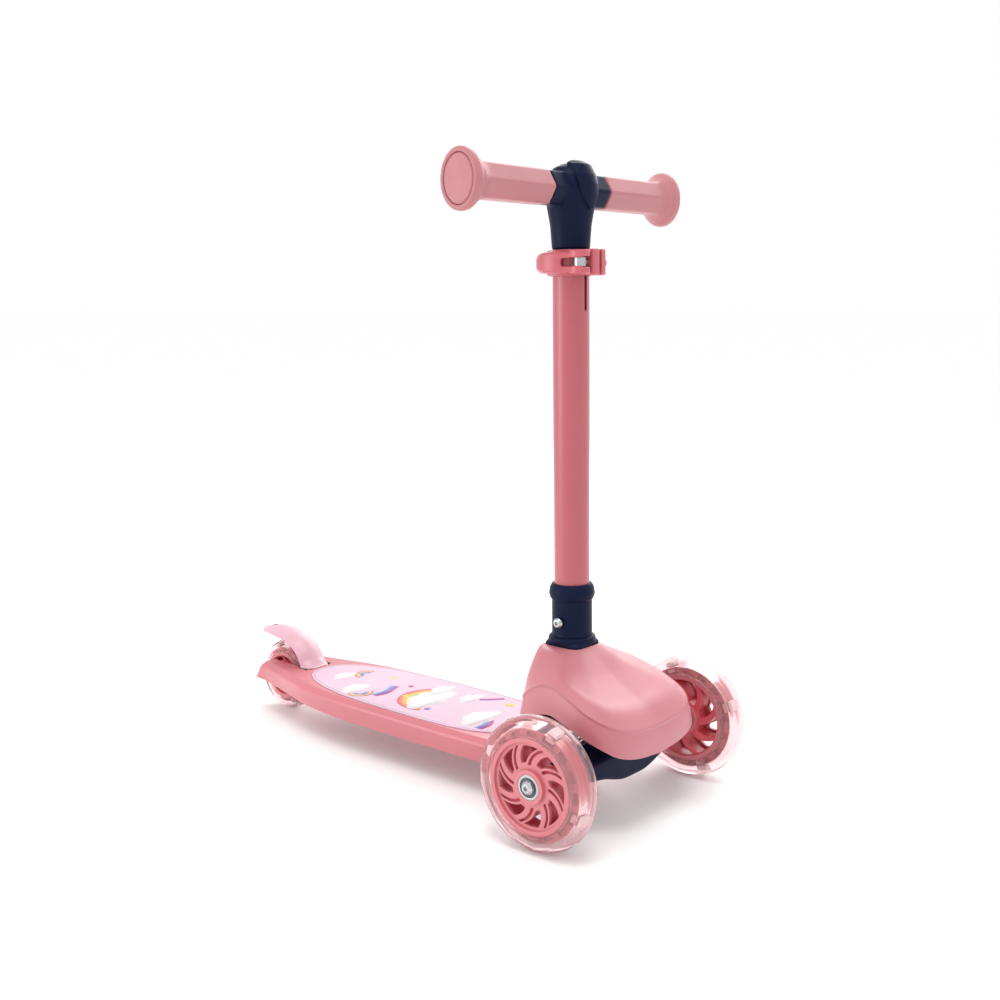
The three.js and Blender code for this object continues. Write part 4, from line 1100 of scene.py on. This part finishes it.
def tee_profile(offset):
    """The T-joint's outline about the stem, moved outward by an offset."""
    profile = [(0, TEE_LOW, 0)] + [(r + offset, z + (offset if z > 575 else 0), 3) for r, z in TEE]
    profile[1] = (17 + offset, TEE_LOW, 0.8)
    return fillet(profile + [(0, 584.6 + offset, 0)], 3, 5, closed=False)


def hexagon_ring(x, flat):
    return [(x, y, z) for y, z in fillet(hexagon(2 * flat), 1.4, 4)]


def tee_mesh():
    """The dome and the hexagonal arms under one soft skin, bored for both tubes."""
    ends = [(-40, 13.4), (-39.3, 14.2), (39.3, 14.2), (40, 13.4)]
    arms = skin([hexagon_ring(x, flat) for x, flat in ends], BAR)
    body = remeshed(joined(lathe(tee_profile(0), STEM, 96), arms), 0.65, 22)
    return carve(body, rod(13.8, TEE_LOW - 5, 547.7, STEM, 0), rod(11.3, -60, 60, BAR_ON_X, 0))


piece("bar_joint", tee_mesh(), "handlebar", "navy", ["tee_joint"], sharp=40)

SHIELD = [
    (0, 541.5, 5), (9, 552, 8), (13.4, 561, 6), (14.7, 569, 6), (14.2, 578, 4), (12.5, 592, 0),
]


def cover_mesh():
    """A thin shell over the front of the T-joint, trimmed to a shield."""
    shell = carve(
        lathe(tee_profile(2.3), STEM, 128),
        lathe([(0, 500)] + tee_profile(-1.6), STEM, 128),
    )
    outline = fillet(mirrored(SHIELD), 3, 5)
    prism = plate(outline, 6, 40, edge=0, place=STEM @ turn(90, "X"))
    return remeshed(carve(shell, prism, operation="INTERSECT"), 0.45, 5)


piece("bar_shield", cover_mesh(), "handlebar", "navy", ["tee_cover"], sharp=60)


def grip_ring(x, height, depth, round_share):
    """A soft hexagon with flats above and below, rounding off into an oval."""
    points = []
    for degrees in steps(0, 360, 144)[:-1]:
        off_flat = (degrees - 90 + 30) % 60 - 30
        corner = 1.115
        hexagonal = min(1 / math.cos(math.radians(off_flat)), corner)
        reach = mix(hexagonal, 1, round_share)
        widest = mix(corner, 1, round_share)
        across, up = polar(reach, degrees)
        points.append((x, depth * across / widest, height * up))
    return points


def grip_mesh(side):
    inner, flare, outer = 40.6, 124, 148.3
    flat, height, depth = 14.4, 25.3, 20.4
    cap_height, cap_depth = 20.8, 16.3
    inside = 11.2
    stations = [
        [inner, inside, inside, 1],
        [inner, flat - 0.9, flat + 0.5, 0],
        [inner + 0.8, flat, flat + 1.6, 0],
    ]
    stations += [[x, flat, flat + 1.6, 0] for x in steps(inner + 4, flare - 6, 6)]
    table = [
        [flare - 6, flat, flat + 1.6, 0],
        [flare, flat + 0.5, flat + 1.7, 0.12],
        [flare + 5, flat + 2.2, flat + 2.2, 0.5],
        [flare + 9, flat + 4.8, flat + 3.4, 0.85],
        [flare + 12.5, height - 3.6, depth - 2.2, 1],
        [flare + 15.5, height - 1, depth - 0.7, 1],
        [flare + 18.5, height, depth, 1],
        [outer - 3, height, depth, 1],
    ]
    stations += [[x] + reading(table, x) for x in steps(flare - 4, outer - 3, 26)]
    for t in steps(0, 90, 5)[1:]:
        angle = math.radians(t)
        out = 2.2 * (1 - math.cos(angle))
        stations.append([outer - 2.4 + 2.2 * math.sin(angle), height - out, depth - out, 1])
    stations += [
        [outer - 0.1, cap_height + 0.5, cap_depth + 0.5, 1],
        [outer - 0.6, cap_height, cap_depth, 1],
        [outer - 3.4, cap_height, cap_depth, 1],
        [outer - 3.4, inside, inside, 1],
    ]
    return skin([grip_ring(*station) for station in stations], BAR @ facing(side), closed=True)


def grip_cap_mesh(side):
    face, height, depth = 148.3, 20.35, 15.9
    profile = [
        (0, face - 3.1, 0), (height, face - 3.1), (height, face - 0.9, 0.7),
        (height - 1.4, face, 0.9), (0, face, 0),
    ]
    place = BAR @ facing(side) @ ABOUT_X
    return knob(profile, 0.4, place, 144, (depth / height, 1))


for name, side in SIDES:
    piece(f"grip_sleeve_{name}", grip_mesh(side), "handlebar", "grip", [f"grip_{name}"], sharp=50)
    piece(f"grip_plug_{name}", grip_cap_mesh(side), "handlebar", "grip", [f"grip_cap_{name}"],
          sharp=50)


# ---- Deck ----

# Back from the front axle: half width, top, bottom, how far the side draws in going down.
DECK = [
    [37, 46, 56.5, 36, 5.5],
    [60, 58, 56.5, 33, 5.5],
    [100, 64, 56.5, 32.5, 5.5],
    [150, 65.5, 56.5, 32, 5.5],
    [290, 65.5, 56.5, 32, 5.5],
    [340, 63, 56.5, 32, 5.5],
    [380, 57, 56.8, 32.3, 5],
    [410, 48.5, 57.2, 33, 4],
    [440, 40, 57.8, 34.5, 2.5],
    [474, 33.5, 58.6, 37.5, 1],
]
TAIL_LEAN = 0.62
POCKETS = [[86, 164, 55], [168, 246, 57], [250, 328, 56], [332, 398, 43]]
DECK_START = 37
DECK_END = 474
HINGE_Y, HINGE_Z = 420, 53


def deck_ring(y):
    half, top, bottom, draft = reading(DECK, y)
    foot = half - draft
    side = [
        (0, bottom, 0), (foot, bottom, 2.6), (half - 0.4, top - 6, 3.5),
        (half - 1.6, top - 3, 1.5), (half - 8, top, 4), (0, top, 0),
    ]
    lean = TAIL_LEAN if y >= DECK_END else 0
    outline = mirrored(fillet(side, 2, 4, closed=False))
    return [(x, y + lean * (top - z), z) for x, z in outline]


MAT = [
    (0, 408), (14, 405.5), (26, 397.5), (37, 381), (46, 356), (53, 322), (56, 280), (56.5, 200),
    (54.5, 165), (50, 140), (41, 120), (24, 106), (0, 101),
]
MAT_TOP = 57.5
MAT_SEAT = 56.2


def mat_outline(distance=0.0):
    outline = wound(fillet(mirrored(MAT), 12, 6), True)
    return inset(outline, distance) if distance else outline


def deck_mesh():
    body = skin([deck_ring(y) for y in steps(DECK_START, DECK_END, 110)], ROOT)
    tools = [  # the fork's gap, the fender's room, the mat's seat and the brake pin's bore
        block((-14.5, 412, 0), (14.5, 520, 90), ROOT, 0),
        block((-19.1, 414.2, 47.5), (19.1, 429, 90), ROOT, 0),
        plate(mat_outline(-0.35), MAT_SEAT - 0.2, 90, edge=0, place=ROOT),
        rod(2.8, -34, 34, BRAKE_PIN, 0),
    ]
    for front, back, half in POCKETS:
        for side in (1, -1):
            inner, outer = sorted((side * 2, side * half))
            tools.append(block((inner, front, 0), (outer, back, 52.3), ROOT, 1.6))
    return carve(body, *tools)


piece("deck_board", deck_mesh(), "deck", "deck", ["deck"], sharp=40, weighted=True)
mat = plate(mat_outline(), MAT_SEAT, MAT_TOP, edge=0.4, place=ROOT)
piece("foot_mat", mat, "deck", "mat", ["deck_mat"])


# ---- Fender brake ----

# Along the fender: middle y, z; edge y, z; half width.
FENDER = [
    [0, 411.8, 57.8, 424.6, 58.0, 18.6],
    [0.03, 414, 59.4, 425, 58.8, 18.2],
    [0.1, 418.8, 65.5, 426, 62, 18.1],
    [0.26, 427.3, 78, 430.5, 69.5, 18.1],
    [0.44, 439, 88, 440, 79, 18.1],
    [0.62, 456, 94, 456, 85.6, 18],
    [0.82, 480, 95.4, 478, 88.5, 17.2],
    [1, 502.6, 91, 496, 88.5, 12.5],
]


def fender_point(along, across):
    middle_y, middle_z, edge_y, edge_z, half = reading(FENDER, along)
    bend = abs(across) ** (2 + 2.5 * (1 - smooth(along, 0, 0.12)))
    return (across * half, mix(middle_y, edge_y, bend), mix(middle_z, edge_z, bend))


def fender_mesh():
    across = [math.sin(math.radians(a)) for a in steps(-90, 90, 44)]
    rows = [[fender_point(t, a) for a in across] for t in steps(0, 1, 72)]
    shell = sheet(rows, wall=2.8, lip=1.0, lip_angle=50, ring=False)
    web = block((-11, HINGE_Y + 1, HINGE_Z + 1), (11, HINGE_Y + 4.8, 62), ROOT, 0.5)
    foot = carve(web, rod(5, -13.6, 13.6, BRAKE_PIN, 0.4), operation="UNION")
    foot = carve(foot, rod(6.4, -6, 6, BRAKE_PIN, 0), rod(2.7, -40, 40, BRAKE_PIN, 0))
    return carve(shell, foot, operation="UNION")


def eyelet_mesh():
    """A dark oblong ring set in the fender's back."""
    middle, following = Vector(fender_point(0.88, 0)), Vector(fender_point(0.91, 0))
    slope = math.degrees(math.atan2(following.z - middle.z, following.y - middle.y))
    outline = fillet(rectangle(-3.6, -2, 3.6, 2), 2, 6)
    place = ROOT @ shift(*middle) @ turn(slope, "X")
    return plate(outline, -0.8, 0.35, [inset(outline, 0.9)], 0.2, place)


piece("fender_shell", fender_mesh(), "brake", "fender", ["brake_fender"], sharp=50)
piece("fender_eyelet", eyelet_mesh(), "brake", "dark_steel")
screw = rod(1.2, 56, 57.2, ROOT @ shift(19.4, 411.6, 0), 0.3, 24)
piece("fender_screw", screw, "deck", "navy")


# ---- Printed mat: generic clouds, stars and rainbows ----

INK = {
    "grey": (150, 134, 148),
    "violet": (136, 104, 180),
    "blue": (106, 158, 200),
    "green": (132, 186, 140),
    "yellow": (220, 196, 98),
    "orange": (218, 152, 98),
    "red": (206, 98, 108),
    "magenta": (182, 74, 138),
    "white": (222, 220, 222),
}
INK_STEP = 0.05
RAINBOW = ["red", "orange", "yellow", "green", "blue", "violet"]
SMALL_RAINBOW = ["red", "yellow", "blue", "violet"]
PUFFS = [(0, 0, 9), (-10, 2, 7), (10, 1, 7.5), (-4, 7, 7), (5, 7, 7.5), (-16, 0, 4.5), (16, 0, 4.5)]
prints = {colour: [] for colour in INK}


def stamp(colour, outline, layer, holes=()):
    """A printed patch a few hundredths of a millimetre thick, at (x, y back from the axle)."""
    top = MAT_TOP + INK_STEP * layer
    prints[colour].append(plate(outline, MAT_TOP - 0.05, top, holes, 0, ROOT))


def star(colour, x, y, size, tilt, layer):
    points = [polar(size if i % 2 == 0 else size * 0.5, 90 + tilt + 36 * i) for i in range(10)]
    stamp(colour, fillet([(x + a, y + b) for a, b in points], size * 0.12, 3), layer)


def cloud(x, y, scale, layer):
    """A white cloud as one outline: the farthest reach of its puffs in every direction."""
    outline = []
    for degrees in steps(0, 360, 90)[:-1]:
        out = Vector(polar(1, degrees))
        reach = 0
        for px, py, puff in PUFFS:
            centre = Vector((px, py)) * scale
            radius = puff * scale
            along = centre.dot(out)
            aside = abs(centre.x * out.y - centre.y * out.x)
            if aside < radius:
                reach = max(reach, along + math.sqrt(radius**2 - aside**2))
        outline.append((x + out.x * reach, y + out.y * reach))
    stamp("white", outline, layer)


def rainbow(x, y, radius, width, start, colours, layer=1):
    """A half ring of stripes."""
    for i, colour in enumerate(colours):
        outer = radius - i * width
        arc = [polar(outer, a) for a in steps(start, start + 180, 30)]
        arc += [polar(outer - width, a) for a in steps(start + 180, start, 30)]
        stamp(colour, [(x + a, y + b) for a, b in arc], layer)


def band(points, width, colours, layer=1):
    """Side-by-side stripes along a smooth curve through a few points."""
    table = [[i, *point] for i, point in enumerate(points)]
    line = [tuple(reading(table, t)) for t in steps(0, len(points) - 1, 30)]
    edges = steps(width * len(colours) / 2, -width * len(colours) / 2, len(colours))
    for colour, left, right in zip(colours, edges, edges[1:]):
        stripe = inset(line, left, closed=False) + inset(line, right, closed=False)[::-1]
        stamp(colour, stripe, layer)


stamp("grey", mat_outline(2.4), 1, [mat_outline(3.1)])
band([(-14, 146), (-27, 138), (-42, 137)], 3.2, ["magenta", "violet", "blue"])
band([(46, 178), (36, 186), (27, 196)], 3.0, ["violet", "magenta"])
band([(-34, 290), (-18, 288), (4, 296)], 3.2, ["blue", "violet", "magenta"])
rainbow(-4, 232, 38, 4.2, 20, RAINBOW)
rainbow(-36, 308, 14, 2.4, 150, SMALL_RAINBOW)
rainbow(14, 350, 14, 2.4, 10, SMALL_RAINBOW)
star("yellow", 34, 160, 8, 12, 1)
star("yellow", -14, 262, 6.5, 20, 3)
star("yellow", 24, 318, 5, 8, 1)
star("magenta", 14, 282, 5, -10, 1)
star("violet", -30, 216, 5, 0, 3)
cloud(-17, 154, 1.35, 2)
cloud(24, 203, 0.85, 2)
cloud(-6, 232, 1.7, 2)
cloud(26, 246, 0.9, 3)
cloud(-30, 321, 0.95, 2)
cloud(-6, 364, 0.8, 2)
for colour, rgb in INK.items():
    LOOKS[f"print_{colour}"] = ("deck_print", plastic(f"print_{colour}", rgb, 0.5, grain=0.2))
    piece(f"print_{colour}", joined(*prints[colour]), "deck", f"print_{colour}", sharp=0)


# ---- CAD nodes that keep their own shape ----

first_look = {}
for slot, material in LOOKS.values():
    first_look.setdefault(slot, material)
for part in frame["record"]["subparts"]:
    data = frame["nodes"][part["node"]].data
    data.materials.clear()
    data.materials.append(first_look[part["material_slot"]])


# ---- Floor, light and camera ----

def stage_floor():
    """A plain white floor out to the horizon."""
    mesh = bpy.data.meshes.new("floor")
    mesh.from_pydata([(x, y, 0) for x, y in rectangle(-60, -60, 60, 60)], [], [(0, 1, 2, 3)])
    floor = link_object("floor", mesh)
    paper = Nodes("paper")
    paper.color(paper.noise(3.0), (255, 255, 255), 0.9911, 1)
    paper.feed(paper.shader, Roughness=0.9, Specular_IOR_Level=0.1)
    mesh.materials.append(paper.material)


def area_light(name, place, target, size, power):
    light = bpy.data.lights.new(name, "AREA")
    light.shape = "DISK"
    light.size = size
    light.energy = power
    lamp = link_object(name, light)
    lamp.location = place
    lamp.rotation_euler = (Vector(target) - Vector(place)).to_track_quat("-Z", "Y").to_euler()


stage_floor()
area_light("top", (-0.5, -0.5, 2.3), (0, 0, 0.2), 1.0, 14)
area_light("left", (-1.7, 1.2, 0.6), (0, 0, 0.3), 1.1, 12)
area_light("right", (1.9, 0.55, 1.6), (0, 0, 0.25), 2.4, 38)

world = bpy.data.worlds.new("studio")
world.use_nodes = True
sky = world.node_tree.nodes["Background"]
sky.inputs["Color"].default_value = (1, 1, 1, 1)
sky.inputs["Strength"].default_value = 1.0
bpy.context.scene.world = world
bpy.context.scene.view_settings.view_transform = "Standard"

lens = bpy.data.cameras.new("camera")
lens.sensor_width = 36
lens.lens = 45.59
lens.shift_y = 0.02566
camera = link_object("camera", lens)
camera.location = (-0.9191, -0.86375, 0.4640)
camera.rotation_euler = (math.radians(90 - 10.02), 0, math.radians(-49.47))
bpy.context.scene.camera = camera

bpy.context.view_layer.update()
